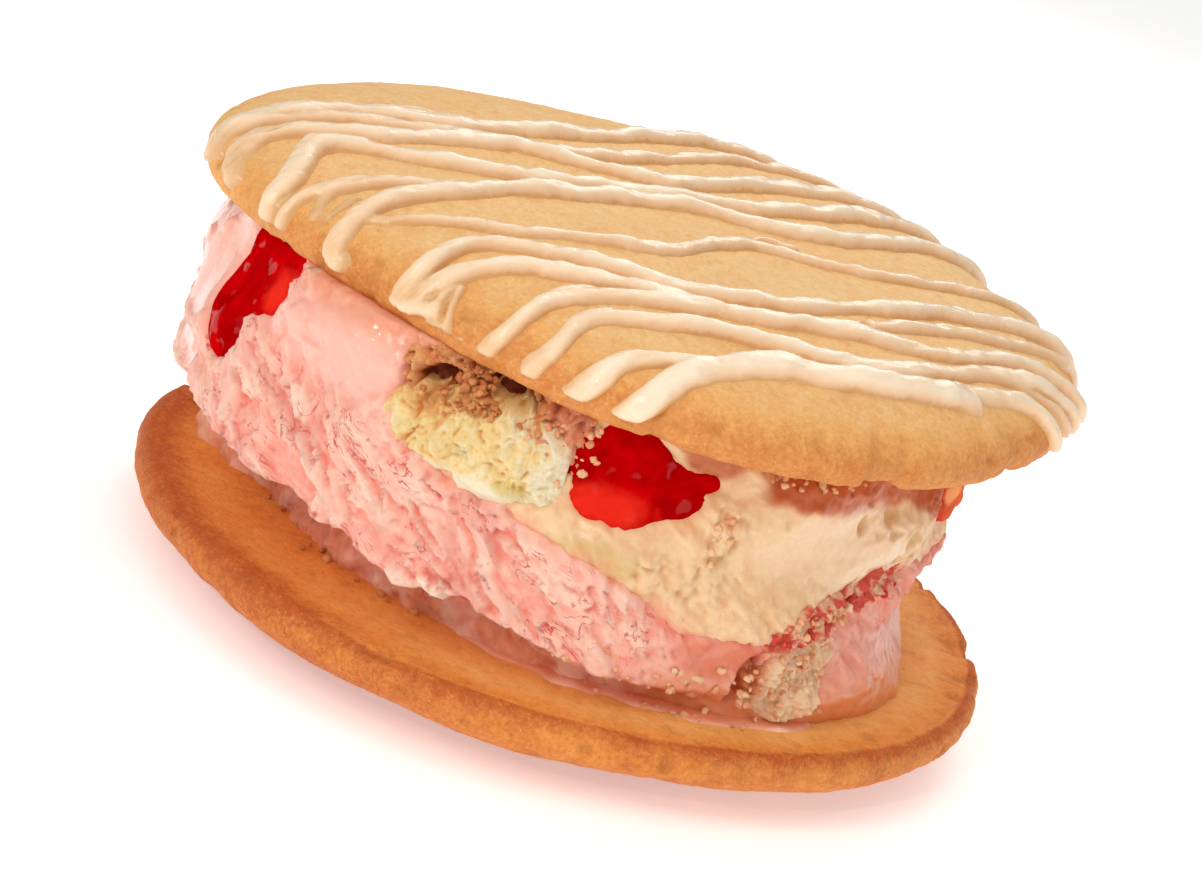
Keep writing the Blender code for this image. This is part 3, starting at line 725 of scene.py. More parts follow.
@dataclass(frozen=True)
class Icing:
    """All piped lines as one surface that lies on the upper biscuit's dome.

    A point of the dome is named by two lengths measured over it from its crown, along and
    across the piping stroke. The surface's height there is a soft maximum of the lines'
    rounded sections, so that lines that touch run together with a shallow valley between.
    """

    biscuit: Biscuit
    strands: tuple[Strand, ...]
    finish: IcingFinish
    stroke: float = np.radians(39.0)
    slim: float = 0.66
    rise: float = 0.53
    crowding: float = 1.5
    step_along: float = 0.42
    step_across: float = 0.19
    reach: float = 51.6
    sink: float = 0.7
    blend: float = 3.4
    edge: float = 0.93
    seed: int = 41

    def line(self, strand: Strand, count: int = 64) -> tuple[Array, Array, Array, Array]:
        """Points along a line, its half width and its height, which noises vary.

        Args:
            strand: the line.
            count: how many points to read.

        Returns:
            Places along and across the stroke, half widths and heights.
        """
        share = np.linspace(0, 1, count)
        along = strand.near + (strand.far - strand.near) * share
        across = hermite(strand.places, share ** (1 / self.crowding) * (len(strand.places) - 1))
        place = np.stack((along, across, np.full(count, 7.0 * strand.width)), axis=-1)
        across = across + 0.40 * Noise(self.seed).layered(place, 8.0, 3)
        wide = 1.0 + 0.42 * Noise(self.seed + 5).layered(place, 6.0, 3)
        tall = 1.0 + 0.45 * Noise(self.seed + 6).layered(place, 5.0, 3)
        tall *= 0.62 + 0.38 * smooth_step((along - strand.near) / 5.0)
        half = self.slim * strand.width / 2 * wide
        return along, across, half, 2 * self.rise * self.slim * strand.width / 2 * tall

    def section(self, share: Array) -> Array:
        """Rounded top that runs down steeply past its edge, from 1 in the middle."""
        top = np.sqrt(1 - np.minimum(share, self.edge) ** 2.4)
        return top - 2.9 * np.maximum(share - self.edge, 0)

    def heights(self, along: Array, across: Array) -> Array:
        """Height of the icing over the dome, in millimetres, negative between the lines.

        Args:
            along: places along the stroke.
            across: places across it.

        Returns:
            The soft maximum of every line's section at its nearest point.
        """
        wander = np.stack((along * 0.35, across, 0 * along), axis=-1)
        frayed = 0.16 * Noise(self.seed + 12).layered(wander, 1.1, 2)
        total = np.full(along.shape, np.exp(-self.sink * 3 * self.blend))
        for strand in self.strands:
            line_along, line_across, half, tall = self.line(strand)
            margin = strand.width
            near = ((along > line_along.min() - margin) & (along < line_along.max() + margin)
                    & (across > line_across.min() - margin) & (across < line_across.max() + margin))
            x, y, ragged = along[near], across[near], frayed[near]
            best = np.full(x.shape, 1e9)
            width = np.full(x.shape, strand.width / 2)
            height = np.full(x.shape, strand.width / 2)
            for k in range(len(line_along) - 1):
                start_x, start_y = line_along[k], line_across[k]
                run_x, run_y = line_along[k + 1] - start_x, line_across[k + 1] - start_y
                length = np.hypot(run_x, run_y)
                forth = ((x - start_x) * run_x + (y - start_y) * run_y) / length
                aside = ((x - start_x) * run_y - (y - start_y) * run_x) / length
                beyond = np.maximum(np.maximum(-forth, forth - length), 0)
                away = (np.abs(aside) ** 4 + beyond ** 4) ** 0.25
                part = np.clip(forth / length, 0, 1)
                closer = away < best
                best = np.where(closer, away, best)
                width = np.where(closer, half[k] + part * (half[k + 1] - half[k]), width)
                height = np.where(closer, tall[k] + part * (tall[k + 1] - tall[k]), height)
            top = height * self.section((best + ragged) / width * (best + ragged > 0))
            total[near] += np.exp(self.blend * np.clip(top, -3 * self.sink, 4.0))
        return np.log(total) / self.blend

    def build(self) -> bpy.types.Object:
        """Lays the surface on the dome and closes it underneath."""
        along = np.arange(-self.reach, self.reach + self.step_along, self.step_along)
        across = np.arange(-44.6, 33.0, self.step_across)
        along, across = np.meshgrid(along, across, indexing="ij")
        height = self.heights(along, across)
        x = along * np.cos(self.stroke) - across * np.sin(self.stroke)
        y = along * np.sin(self.stroke) + across * np.cos(self.stroke)
        out, angle = np.hypot(x, y), np.arctan2(y, x)
        points, normal = self.biscuit.dome(np.minimum(out, self.reach), angle)
        streak = np.stack((along * 0.22, across, 0 * along), axis=-1)
        lumps = (0.13 * Noise(self.seed + 9).layered(points, 2.4, 3) + 0.07 * Noise(self.seed + 11).layered(points, 0.9, 2)
                 + 0.17 * Noise(self.seed + 10).layered(streak, 0.75, 2))
        height = height + lumps * smooth_step(height / 0.6)
        height = height - 2.6 * smooth_step((out - self.reach + 1.5) / 1.3)
        height = np.maximum(height, -self.sink)
        covered = (height > -self.sink * 0.98) & (out < self.reach)
        keep = covered[:-1, :-1] | covered[1:, :-1] | covered[:-1, 1:] | covered[1:, 1:]
        keep &= (out < self.reach)[:-1, :-1] & (out < self.reach)[1:, 1:]
        outer = points + height[..., None] * normal
        inner = points - (self.sink + 0.5) * normal
        corners, quads = closed_sheet(outer, inner, keep, False)
        clear_ends = 0.24 * smooth_step((-30.0 - along) / 14.0)
        # Lift: paler with height where the icing is thick, lowered in the valleys between lines as painted shade, and
        # lowered at the near ends.
        crest = np.clip(height / 1.3, 0, 1) - np.clip(cavity(height, 8) / 0.22, 0, 1) * 0.6 - clear_ends
        values = {"lift": np.append(crest.ravel(), crest.ravel())}
        return write_mesh("piped_icing", corners, quads, np.zeros((0, 3), int), values, self.finish)


@dataclass(frozen=True)
class Block:
    """The filling's side as one surface, shared by everything that shows in it."""

    shift: float = -3.5
    radius: float = 42.6
    low: float = 8.5
    high: float = 37.6
    bulge_height: float = 25.0
    bulge: float = 2.6
    foot: tuple[float, ...] = (39.0, 31.2, 32.6, 34.6, 40.0, 45.6, 42.8, 40.0, 37.0, 36.0, 38.0, 40.0)
    ledge: tuple[float, ...] = (14.0, 17.5, 16.5, 12.6, 11.0, 13.0, 13.0, 12.0, 13.0, 14.0, 15.0, 13.0)
    seam_start: float = -35.0
    seam_step: float = 10.0
    seam: tuple[float, ...] = (58.0, 40.0, 29.8, 27.0, 24.5, 20.3, 21.0, 23.5, 22.0, 21.0)
    seam_slope: float = 0.05
    cake: tuple = ((-104.3, 30.3, 7.0, 2.8), (-96.5, 30.0, 6.2, 4.3), (-99.0, 32.4, 6.0, 2.4))
    left_sauce: tuple = ((-146.2, 34.6, 7.2, 5.6), (-150.0, 30.8, 5.0, 5.0), (-147.4, 27.8, 4.4, 4.6))
    front_sauce: tuple = ((-80.3, 32.0, 5.8, 5.4), (-76.6, 31.7, 6.6, 3.6), (-83.0, 28.9, 3.8, 2.2),
                          (-70.6, 33.1, 3.7, 1.2))
    back_sauce: tuple = ((72.0, 33.4, 6.6, 4.0), (66.0, 31.0, 3.6, 3.2))
    crumble: tuple = ((-46.5, 14.6, 5.4, 5.2), (-48.5, 18.2, 4.2, 2.2), (-42.5, 20.6, 4.2, 1.7),
                      (-36.0, 21.8, 4.4, 1.5), (-29.0, 22.6, 4.2, 1.3))
    beds: tuple = ((-107.2, 35.2, 4.2, 3.2), (-101.0, 35.9, 4.6, 2.5), (-95.5, 36.0, 4.2, 2.4),
                   (-89.8, 34.0, 3.2, 4.6), (-54.0, 36.3, 7.5, 1.6), (84.0, 36.2, 8.0, 1.7))
    # The hollows are cut in, and the crumb bed paints them dark as shadow.
    hollows: tuple = ((-107.6, 34.1, 2.4, 1.8), (-99.4, 35.6, 2.9, 1.1), (-96.2, 35.3, 1.4, 0.9))
    craters: tuple = ((-95.6, 14.5, 1.8, 1.5), (-54.6, 13.6, 1.2, 3.6))
    crease: tuple[float, float, float, float] = (-104.0, 26.0, 15.0, 9.0)
    seed: int = 71

    def around(self, angle: Array, level: Array) -> Array:
        """Points on an even cylinder, the place at which noises are read."""
        angle, level = np.broadcast_arrays(angle, level)
        return np.stack((self.radius * np.cos(angle), self.radius * np.sin(angle), level), axis=-1)

    def side(self, angle: Array, level: Array) -> Array:
        """Even radius: a bulge, drawn in under a ledge or spread at the foot, with slow ridges."""
        foot = round_the_block(self.foot, angle)
        ledge = round_the_block(self.ledge, angle)
        above = np.maximum(level - self.bulge_height, 0) / (self.high - self.bulge_height)
        side = self.radius - self.bulge * above ** 2
        spread = 1.3 + 0.8 * np.maximum(foot - self.radius, 0)
        calm = 1 - 0.7 * smooth_step((np.cos(angle - np.radians(-20.0)) - 0.5) / 0.3)
        wobble = 1.3 * calm * Noise(self.seed).layered(self.around(angle, 0 * level), 7.0, 2)
        rise = smooth_step((level - ledge - wobble) / (2 * spread) + 0.5)
        ridges = 0.55 * (np.sin(5 * angle + 0.35 * level) + 0.8 * np.sin(9 * angle - 0.5 * level + 1))
        ridges = ridges - 1.1 * smooth_step(oval(angle, level, (-172.0, 21.8, 18.0, 2.2), self.radius) / 3.0 + 0.2)
        drawn_in = 2.3 * smooth_step((np.cos(angle) - 0.5) / 0.4)
        return foot + (side - foot) * rise + ridges - drawn_in

    def above_seam(self, angle: Array, level: Array) -> Array:
        """Height over the strawberry and vanilla seam, frayed by noise."""
        x, y = self.shift + self.radius * np.cos(angle), self.radius * np.sin(angle)
        steps = np.clip((x - self.seam_start) / self.seam_step, 0, len(self.seam) - 1)
        place = self.around(angle, level)
        frayed = 0.9 * Noise(self.seed + 2).layered(place, 4.5, 3) + 0.5 * Noise(self.seed + 4).layered(place, 1.4, 2)
        degrees = np.degrees(np.angle(np.exp(1j * angle)))
        pink_left = 14.0 * smooth_step((-111.5 + 5.0 * smooth_step((level - 30.5) / 3.0) - degrees) / 3.5)
        return level - hermite(self.seam, steps) - self.seam_slope * y + frayed - pink_left

    def patch(self, ovals: Sequence[tuple], angle: Array, level: Array, fray: float) -> Array:
        """Distance inside a group of ovals whose border noise frays."""
        best = np.full(np.broadcast(angle, level).shape, -99.0)
        for place in ovals:
            best = np.maximum(best, oval(angle, level, place, self.radius))
        noise = Noise(self.seed + 6).layered(self.around(angle, level), 2.6, 3)
        return best + fray * noise

    def sauces(self, angle: Array, level: Array) -> Array:
        """Distance inside any lobe of sauce."""
        return self.patch(self.left_sauce + self.front_sauce + self.back_sauce, angle, level, 0.5)

    def cakes(self, angle: Array, level: Array) -> Array:
        """Distance inside the chunk of cake."""
        return np.minimum(self.patch(self.cake, angle, level, 1.0), -self.patch(self.hollows, angle, level, 0.9))

    def crumbles(self, angle: Array, level: Array) -> Array:
        """Distance inside the soaked crumble."""
        return self.patch(self.crumble, angle, level, 1.7)

    def crumb_beds(self, angle: Array, level: Array) -> Array:
        """Distance inside the brown crumbs under the upper biscuit."""
        return self.patch(self.beds, angle, level, 0.8)

    def ice_cream(self, angle: Array, level: Array) -> Array:
        """Distance clear of cake, sauce, crumble, crumbs and the hollows in them."""
        around_hollows = self.patch(self.hollows, angle, level, 0.9) + 2.0
        beds = np.maximum(self.crumb_beds(angle, level), around_hollows)
        return -np.maximum(np.maximum(self.sauces(angle, level), self.cakes(angle, level)),
                           np.maximum(self.crumbles(angle, level), beds))

    def softness(self, angle: Array, level: Array) -> Array:
        """1 where the surface is smooth from melting, 0 where it is torn."""
        places = ((-125.0, 33.5, 12.0, 5.6), (-165.0, 31.5, 13.0, 8.0), (-168.0, 20.0, 12.0, 3.4), (-60.5, 16.2, 4.8, 2.6),
                  (-44.0, 27.5, 15.0, 5.6), (60.0, 30.0, 20.0, 6.0),
                  (-84.0, 26.6, 5.0, 1.6), (-96.0, 26.6, 9.0, 1.2),
                  (170.0, 26.0, 14.0, 8.0), (120.0, 31.0, 12.0, 6.0), (10.0, 16.0, 12.0, 6.0))
        best = self.patch(places, angle, level, 1.8)
        return smooth_step(best / 3.0 + 0.3)

    def drawn(self, angle: Array, level: Array) -> Array:
        """Places stretched along the way the ice cream tore, down to the right, and bent by noise."""
        twist = angle + 0.022 * level
        place = np.stack((self.radius * np.cos(twist), self.radius * np.sin(twist), 0.84 * level), axis=-1)
        return place + 3.0 * np.stack([Noise(self.seed + k).layered(place, 6.0, 2) for k in (41, 42, 43)], axis=-1)

    def sheets(self, angle: Array, level: Array) -> Array:
        """Where torn sheets stand up, from 0 to 1 over sharp edges."""
        return smooth_step(Noise(self.seed + 15).layered(self.drawn(angle, level), 3.0, 4, 0.6) * 5.0 + 0.5)

    def torn(self, angle: Array, level: Array) -> Array:
        """Relief of ice cream: broad folds, slanting torn ridges, flakes and pits."""
        place = self.around(angle, level)
        soft = self.softness(angle, level)
        drawn = self.drawn(angle, level)
        folds = 0.75 * Noise(self.seed + 11).layered(place, 8.0, 2)
        ridges = 0.36 * (Noise(self.seed + 12).ridged(drawn, 3.8, 4) - 0.5)
        chunks = 0.55 * smooth_step(Noise(self.seed + 17).layered(drawn, 5.5, 3) * 5.0 + 0.4)
        flakes = 0.30 * smooth_step(Noise(self.seed + 16).layered(drawn, 1.5, 3, 0.6) * 5.0)
        grains = 0.25 * (Noise(self.seed + 25).crumbs(place, 0.9) - 0.5)
        crust = 0.40 * Noise(self.seed + 13).layered(place, 1.3, 3, 0.65)
        slits = -0.4 * smooth_step(Noise(self.seed + 14).layered(drawn, 2.2, 3) * 5 - 1.9)
        rough = ridges + chunks + 0.60 * self.sheets(angle, level) + flakes + grains + crust + slits
        return folds + (1 - 0.94 * soft) * rough * (1 - 0.45 * smooth_step((np.abs(np.cos(angle + 3.0)) - 0.85) / 0.1))

    def dents(self, angle: Array, level: Array) -> Array:
        """Depth of the few craters and slits that show clearly, from 0 to 1."""
        best = np.full(np.broadcast(angle, level).shape, -9.0)
        for place in self.craters:
            best = np.maximum(best, oval(angle, level, place, self.radius) / min(place[2:]))
        return smooth_step(best * 1.8 + 0.2)


@dataclass(frozen=True)
class Skin:
    """A closed skin over part of the block's side, as a grid of angle and height."""

    name: str
    node: str
    slot: str
    block: Block
    first: float
    last: float
    low: float
    high: float
    step: float
    behind: float = 0.0
    row_step: float = 1.0
    depth: float = 6.0
    dip: float = 3.4
    dip_width: float = 1.5

    def grid(self) -> tuple[Array, Array, bool]:
        """Angles and heights of the grid, coarser at the back, and whether it goes all round."""
        wrap = self.last - self.first >= 359.9
        fine = np.radians(np.linspace(self.first, self.last, 3000))
        coarse = 1.0 + self.behind * smooth_step((np.sin(fine) + 0.05) / 0.4)
        count = np.append(0.0, np.cumsum(self.block.radius * np.diff(fine) / (self.step * coarse[1:])))
        columns = int(round(count[-1]))
        angle = np.interp(np.arange(columns + (0 if wrap else 1)) * count[-1] / columns, count, fine)
        rows = int(round((self.high - self.low) / (self.step * self.row_step))) + 1
        level = np.linspace(self.low, self.high, rows)
        return *np.meshgrid(angle, level, indexing="ij"), wrap

    def inside(self, angle: Array, level: Array) -> Array:
        """Distance inside this skin's own region."""
        raise NotImplementedError

    def relief(self, angle: Array, level: Array, inside: Array) -> Array:
        """Height of the surface over the block's even side."""
        raise NotImplementedError

    def values(self, angle: Array, level: Array, inside: Array, relief: Array) -> dict[str, Array]:
        """The mesh's own values for its finish."""
        raise NotImplementedError

    def places(self, angle: Array, level: Array) -> Array:
        """Where the finish reads its noises."""
        return self.block.around(angle, level)

    def make(self, finish: object) -> bpy.types.Object:
        """Builds the skin: the outer face dives under its neighbours past its border."""
        angle, level, wrap = self.grid()
        inside = self.inside(angle, level)
        relief = self.relief(angle, level, inside)
        seam = oval(angle, level, self.block.crease, self.block.radius)
        fold = 0.22 + 0.5 * smooth_step(seam / 4.0 + 0.3)
        dive = self.dip * smooth_step(-inside / self.dip_width) + fold * smooth_step(1 - inside / 0.8)
        even = self.block.side(angle, level)
        outer_radius = even + relief - dive
        inner_radius = np.minimum(even - self.depth, outer_radius - 0.6)
        covered = inside > -self.dip_width
        keep = covered[:-1, :-1] | covered[1:, :-1] | covered[:-1, 1:] | covered[1:, 1:]
        if wrap:
            ahead = np.roll(covered, -1, axis=0)
            keep = covered[:, :-1] | covered[:, 1:] | ahead[:, :-1] | ahead[:, 1:]

        def place(radius: Array) -> Array:
            """Points at a radius from the block's axis."""
            return np.stack((self.block.shift + radius * np.cos(angle), radius * np.sin(angle), level), axis=-1)

        corners, quads = closed_sheet(place(outer_radius), place(inner_radius), keep, wrap)
        values = {key: np.tile(np.clip(value, 0, 1).ravel(), 2)
                  for key, value in self.values(angle, level, inside, relief).items()}
        drawn = self.places(angle, level).reshape(-1, 3)
        values["drawn"] = np.vstack((drawn, drawn))
        replaced = (self.node,) if self.node else ()
        return write_mesh(self.name, corners, quads, np.zeros((0, 3), int), values, finish, replaced)


@dataclass(frozen=True)
class StrawberryIceCream(Skin):
    """The pink layer: smooth under the biscuit at the left, torn and stained lower down."""

    knob: tuple[float, float, float, float] = (-99.6, 15.2, 2.0, 1.5)
    salmon: tuple[float, float, float, float] = (-60.5, 16.2, 5.4, 2.8)

    def places(self, angle: Array, level: Array) -> Array:
        """Stretched the way the ice cream tore."""
        return self.block.drawn(angle, level)

    def inside(self, angle: Array, level: Array) -> Array:
        """Below the seam and clear of the pieces in it."""
        return np.minimum(-self.block.above_seam(angle, level), self.block.ice_cream(angle, level) + 0.15)

    def relief(self, angle: Array, level: Array, inside: Array) -> Array:
        """Torn ice cream with a few craters, lumpy in the recess at its foot."""
        place = self.block.around(angle, level)
        foot = smooth_step((round_the_block(self.block.ledge, angle) - 0.5 - level) / 2.0)
        lumps = 1.5 * Noise(311).layered(place, 3.2, 4, 0.55) + 0.5 * (Noise(313).crumbs(place, 1.8) - 0.5)
        calm = 1 - 0.7 * smooth_step((np.cos(angle - np.radians(-20.0)) - 0.5) / 0.3)
        knob = 1.4 * smooth_step(oval(angle, level, self.knob, self.block.radius) / 1.6)
        torn = self.block.torn(angle, level) * (1 - 0.6 * (1 - calm) / 0.7 * smooth_step((21.0 - level) / 3.0))
        drops = 0.34 * self.block.softness(angle, level) * smooth_step(Noise(317).layered(place, 2.6, 2) * 5 - 1.6)
        return (1 - foot) * torn + foot * calm * lumps + knob + drops - 1.6 * self.block.dents(angle, level)

    def values(self, angle: Array, level: Array, inside: Array, relief: Array) -> dict[str, Array]:
        """Depth and crests for painted shade and highlight, softness, red fibres, the warm melting ice cream at the
        foot, partly painted shade in its recess, and a painted shadow under the upper biscuit's rim.
        """
        place = self.block.around(angle, level)
        soft = self.block.softness(angle, level)
        drawn = self.block.drawn(angle, level)
        fibres = smooth_step((Noise(301).ridged(drawn, 1.5, 2) - 0.80) / 0.14)
        clumps = smooth_step(Noise(303).layered(place, 6.0, 2) * 2.4 + 0.35)
        foot = smooth_step((round_the_block(self.block.ledge, angle) + 0.2 - level) / 2.2)
        degrees = np.degrees(np.angle(np.exp(1j * angle)))
        right = smooth_step((degrees + 80.0) / 20.0) * smooth_step((30.0 - degrees) / 20.0)
        low = smooth_step((15.0 - level) / 4.0)
        salmon = smooth_step(oval(angle, level, self.salmon, self.block.radius) / 1.6 + 0.3)
        flushed = clumps * smooth_step(Noise(307).layered(drawn, 2.6, 3) * 3)
        # In the craters, by dents, the stain colour is painted shade; the fibres, flushes, salmon lobe and right side
        # are real stains.
        stain = ((1 - soft) * (0.46 * fibres * clumps + 0.28 * flushed)
                 + 0.55 * self.block.dents(angle, level) + 0.42 * salmon
                 + right * (0.08 + 0.16 * smooth_step(Noise(315).layered(drawn, 3.0, 3) * 4)))
        patches = smooth_step(Noise(309).layered(drawn, 3.0, 3) * 4.0 - 0.6)
        white = (0.6 * patches + 0.5 * self.block.sheets(angle, level)) * (1 - soft) * (1 - 0.8 * right)
        knob = smooth_step(oval(angle, level, self.knob, self.block.radius) / 0.8 + 0.5)
        # The foot's warm colour is partly melting ice cream and partly painted shade in the recess under the ledge.
        melt_and_shade = (0.55 + 0.15 * right) * foot * smooth_step(Noise(305).layered(place, 5.0, 2) * 3 + 0.7)
        # Painted shadow: darker near the top under the upper biscuit's rim, at the left front.
        shaded = smooth_step((level - 35.0) / 2.2) * smooth_step((degrees + 141.0) / 8.0) * smooth_step((-100.0 - degrees) / 8.0)
        melt_and_shade = melt_and_shade + 0.55 * right * low + 0.55 * shaded + 0.30 * salmon + 0.10 * right
        soft = np.maximum(soft, 0.72 * right * smooth_step((19.0 - level) / 3.0))
        white = white + 0.30 * foot * (1 - right)
        # deep darkens hollows as painted shade; crest lightens convex crests as a painted highlight.
        return {"deep": cavity(relief, 10) / 0.75, "soft": soft, "stain": stain, "melt_and_shade": melt_and_shade,
                "crest": cavity(-relief, 8) / 0.4, "tint": 0.55 * white + 0.8 * knob}


@dataclass(frozen=True)
class VanillaIceCream(Skin):
    """The cream layer, upper right: soft, with pores, crumbs at its top and a painted shadow there under the upper
    biscuit.
    """

    crumbly: tuple = ((-71.0, 23.6, 5.4, 2.4), (-65.5, 29.4, 2.4, 3.0))
    tan: tuple[float, float, float, float] = (-69.0, 35.8, 3.6, 2.4)
    olive: tuple = ((-82.0, 24.0, 5.0, 2.0), (-68.5, 32.6, 1.2, 0.7), (-66.0, 26.4, 1.6, 0.6),
                    (-33.0, 30.6, 1.4, 1.2), (-26.0, 27.6, 1.2, 1.2), (-40.0, 30.0, 0.8, 1.0))

    def inside(self, angle: Array, level: Array) -> Array:
        """Above the seam and clear of the pieces in it."""
        return np.minimum(self.block.above_seam(angle, level), self.block.ice_cream(angle, level) + 0.15)

    def crumbles(self, angle: Array, level: Array) -> Array:
        """How crumbly the surface is, from 0 to 1."""
        return smooth_step(self.block.patch(self.crumbly, angle, level, 1.4) / 1.2 + 0.4)

    def relief(self, angle: Array, level: Array, inside: Array) -> Array:
        """Softer tears than the strawberry's, with small pores, dimples and crumbly patches."""
        place = self.block.around(angle, level)
        pores = -0.6 * smooth_step(Noise(401).layered(place, 1.8, 2) * 4 - 2.1)
        crumbs = 1.2 * (Noise(409).crumbs(place, 1.5) - 0.40) + 0.6 * (Noise(411).crumbs(place, 0.7) - 0.40)
        dimples = -0.7 * smooth_step(self.block.patch(self.olive[1:], angle, level, 0.3) / 0.8 + 0.3)
        smooth = 1 - 0.75 * smooth_step(self.block.patch(((-47.0, 26.5, 14.0, 6.0),), angle, level, 1.0) / 3.0 + 0.3)
        return (0.45 * smooth * self.block.torn(angle, level) + smooth * pores + 0.15 * Noise(403).layered(place, 1.2, 3)
                + self.crumbles(angle, level) * crumbs + dimples)

    def values(self, angle: Array, level: Array, inside: Array, relief: Array) -> dict[str, Array]:
        """Depth and crests for painted shade and highlight, softness, pink smears near the seam, olive thin spots, and
        the brown shade: a painted shadow under the upper biscuit, with a tan patch by the sauce.
        """
        place = self.block.around(angle, level)
        above = self.block.above_seam(angle, level)
        smear = smooth_step(1 - above / 2.6) * smooth_step(Noise(405).layered(place, 3.4, 2) * 3 + 0.6)
        degrees = np.degrees(np.angle(np.exp(1j * angle)))
        wander = 0.9 * Noise(407).layered(place, 3.4, 3)
        right = smooth_step((degrees + 63.0) / 4.0) * smooth_step((2.0 - degrees) / 10.0)
        # Painted shadow: the brown shade under the upper biscuit at the front right, and at the back.
        under = smooth_step((level - 31.5 + 1.6 * wander + 3.2 * smooth_step((degrees + 42.0) / 28.0)) / 1.5)
        back = smooth_step((degrees - 10.0) / 15.0) * smooth_step((level - 34.6 + wander) / 2.0)
        tan = smooth_step(oval(angle, level, self.tan, self.block.radius) / 1.0 + 0.4)
        olive = smooth_step(self.block.patch(self.olive, angle, level, 0.5) / 1.2 + 0.35)
        shade = 0.94 * right * under + 0.8 * tan + 0.5 * back
        # deep darkens hollows as painted shade; crest lightens convex crests as a painted highlight and also marks the
        # crumbly patches.
        return {"deep": 0.8 * cavity(relief, 12) / 0.55, "soft": 0.42 + 0.58 * self.block.softness(angle, level),
                "stain": 0.60 * smear, "melt_and_shade": shade, "tint": 0.55 * olive,
                "crest": cavity(-relief, 10) / 0.5 + 0.5 * self.crumbles(angle, level)}


@dataclass(frozen=True)
class CakePiece(Skin):
    """The chunk of yellow cake, its open crumb browned along the top."""

    def inside(self, angle: Array, level: Array) -> Array:
        """Inside the cake's frayed oval."""
        return self.block.cakes(angle, level)

    def relief(self, angle: Array, level: Array, inside: Array) -> Array:
        """Rounded crumbs of three sizes that stand proud of the ice cream."""
        place = self.block.around(angle, level)
        bent = place + 0.8 * np.stack([Noise(550 + k).smooth(place, 1.8) for k in range(3)], axis=-1)
        crumbs = (0.9 * (Noise(501).crumbs(bent, 2.2) - 0.45) + 0.75 * (Noise(511).crumbs(bent, 0.95) - 0.45)
                  + 0.40 * (Noise(515).crumbs(place, 0.5) - 0.45) + 1.9 * Noise(519).layered(bent, 2.8, 4, 0.6))
        calm = smooth_step((28.6 - level + 0.8 * Noise(517).smooth(place, 3.0)) / 2.0)
        return 0.3 + (1 - 0.80 * calm) * crumbs

    def values(self, angle: Array, level: Array, inside: Array, relief: Array) -> dict[str, Array]:
        """Tone from pale to toasted, darker in the crumb's hollows as painted shade, and the olive thin spot at its
        lower right.
        """
        place = self.block.around(angle, level)
        degrees = np.degrees(angle)
        top = smooth_step((level - 31.8 - 0.16 * (degrees + 104.0) + 1.6 * Noise(533).layered(place, 2.0, 3)) / 1.8)
        left = smooth_step((-104.0 - degrees + 3.0 * Noise(535).smooth(place, 3.0)) / 5.0)
        pale = smooth_step((28.2 - level + 0.5 * Noise(537).smooth(place, 2.0)) / 1.4)
        right = smooth_step((degrees + 93.0 + 1.5 * Noise(539).smooth(place, 2.0)) / 3.0)
        # Painted shade: the crumb's hollows, by cavity, lean toward the toasted colour.
        tone = (0.34 + 0.26 * top + 0.12 * left - 0.5 * np.maximum(pale, right)
                + 0.55 * np.clip(cavity(relief, 6) / 0.5, 0, 1) + 0.34 * Noise(531).layered(place, 2.2, 3))
        spot = smooth_step(oval(angle, level, (-94.0, 27.6, 2.2, 0.9), self.block.radius) / 0.8 + 0.4)
        return {"tone": tone, "stain": 0.55 * spot}


@dataclass(frozen=True)
class CrumbBed(Skin):
    """Brown crumbs under the upper biscuit, with painted shadow in dark hollows."""

    def inside(self, angle: Array, level: Array) -> Array:
        """Inside the bed's ovals."""
        hollows = self.block.patch(self.block.hollows, angle, level, 0.9) + 0.9
        return np.maximum(self.block.crumb_beds(angle, level), hollows) - 0.1

    def hollow(self, angle: Array, level: Array) -> Array:
        """Depth of the dark hollows, from 0 to 1, which are painted as shadow."""
        return smooth_step(self.block.patch(self.block.hollows, angle, level, 0.9) / 0.5 + 0.45)

    def relief(self, angle: Array, level: Array, inside: Array) -> Array:
        """Crumbs of two sizes, a little sunk, with the hollows cut in."""
        place = self.block.around(angle, level)
        crumbs = (1.4 * (Noise(541).crumbs(place, 1.5) - 0.45) + 1.5 * (Noise(543).crumbs(place, 0.8) - 0.45)
                  + 1.6 * Noise(549).layered(place, 1.5, 4, 0.65))
        hollow = self.hollow(angle, level)
        return -0.3 + (1 - hollow) * crumbs - 2.6 * hollow

    def values(self, angle: Array, level: Array, inside: Array, relief: Array) -> dict[str, Array]:
        """Brown by depth and darkest in the hollows, both painted shade, and pink to the right where syrup soaked in.
        """
        place = self.block.around(angle, level)
        degrees = np.degrees(np.angle(np.exp(1j * angle)))
        pink = smooth_step((degrees + 95.0 + 2 * Noise(547).smooth(place, 2.0)) / 4.0)
        tone = 0.12 + 0.75 * np.clip(cavity(relief, 5) / 0.45, 0, 1) + 0.5 * Noise(545).layered(place, 1.3, 3)
        return {"tone": tone + self.hollow(angle, level), "stain": 0.85 * pink * (1 - self.hollow(angle, level))}


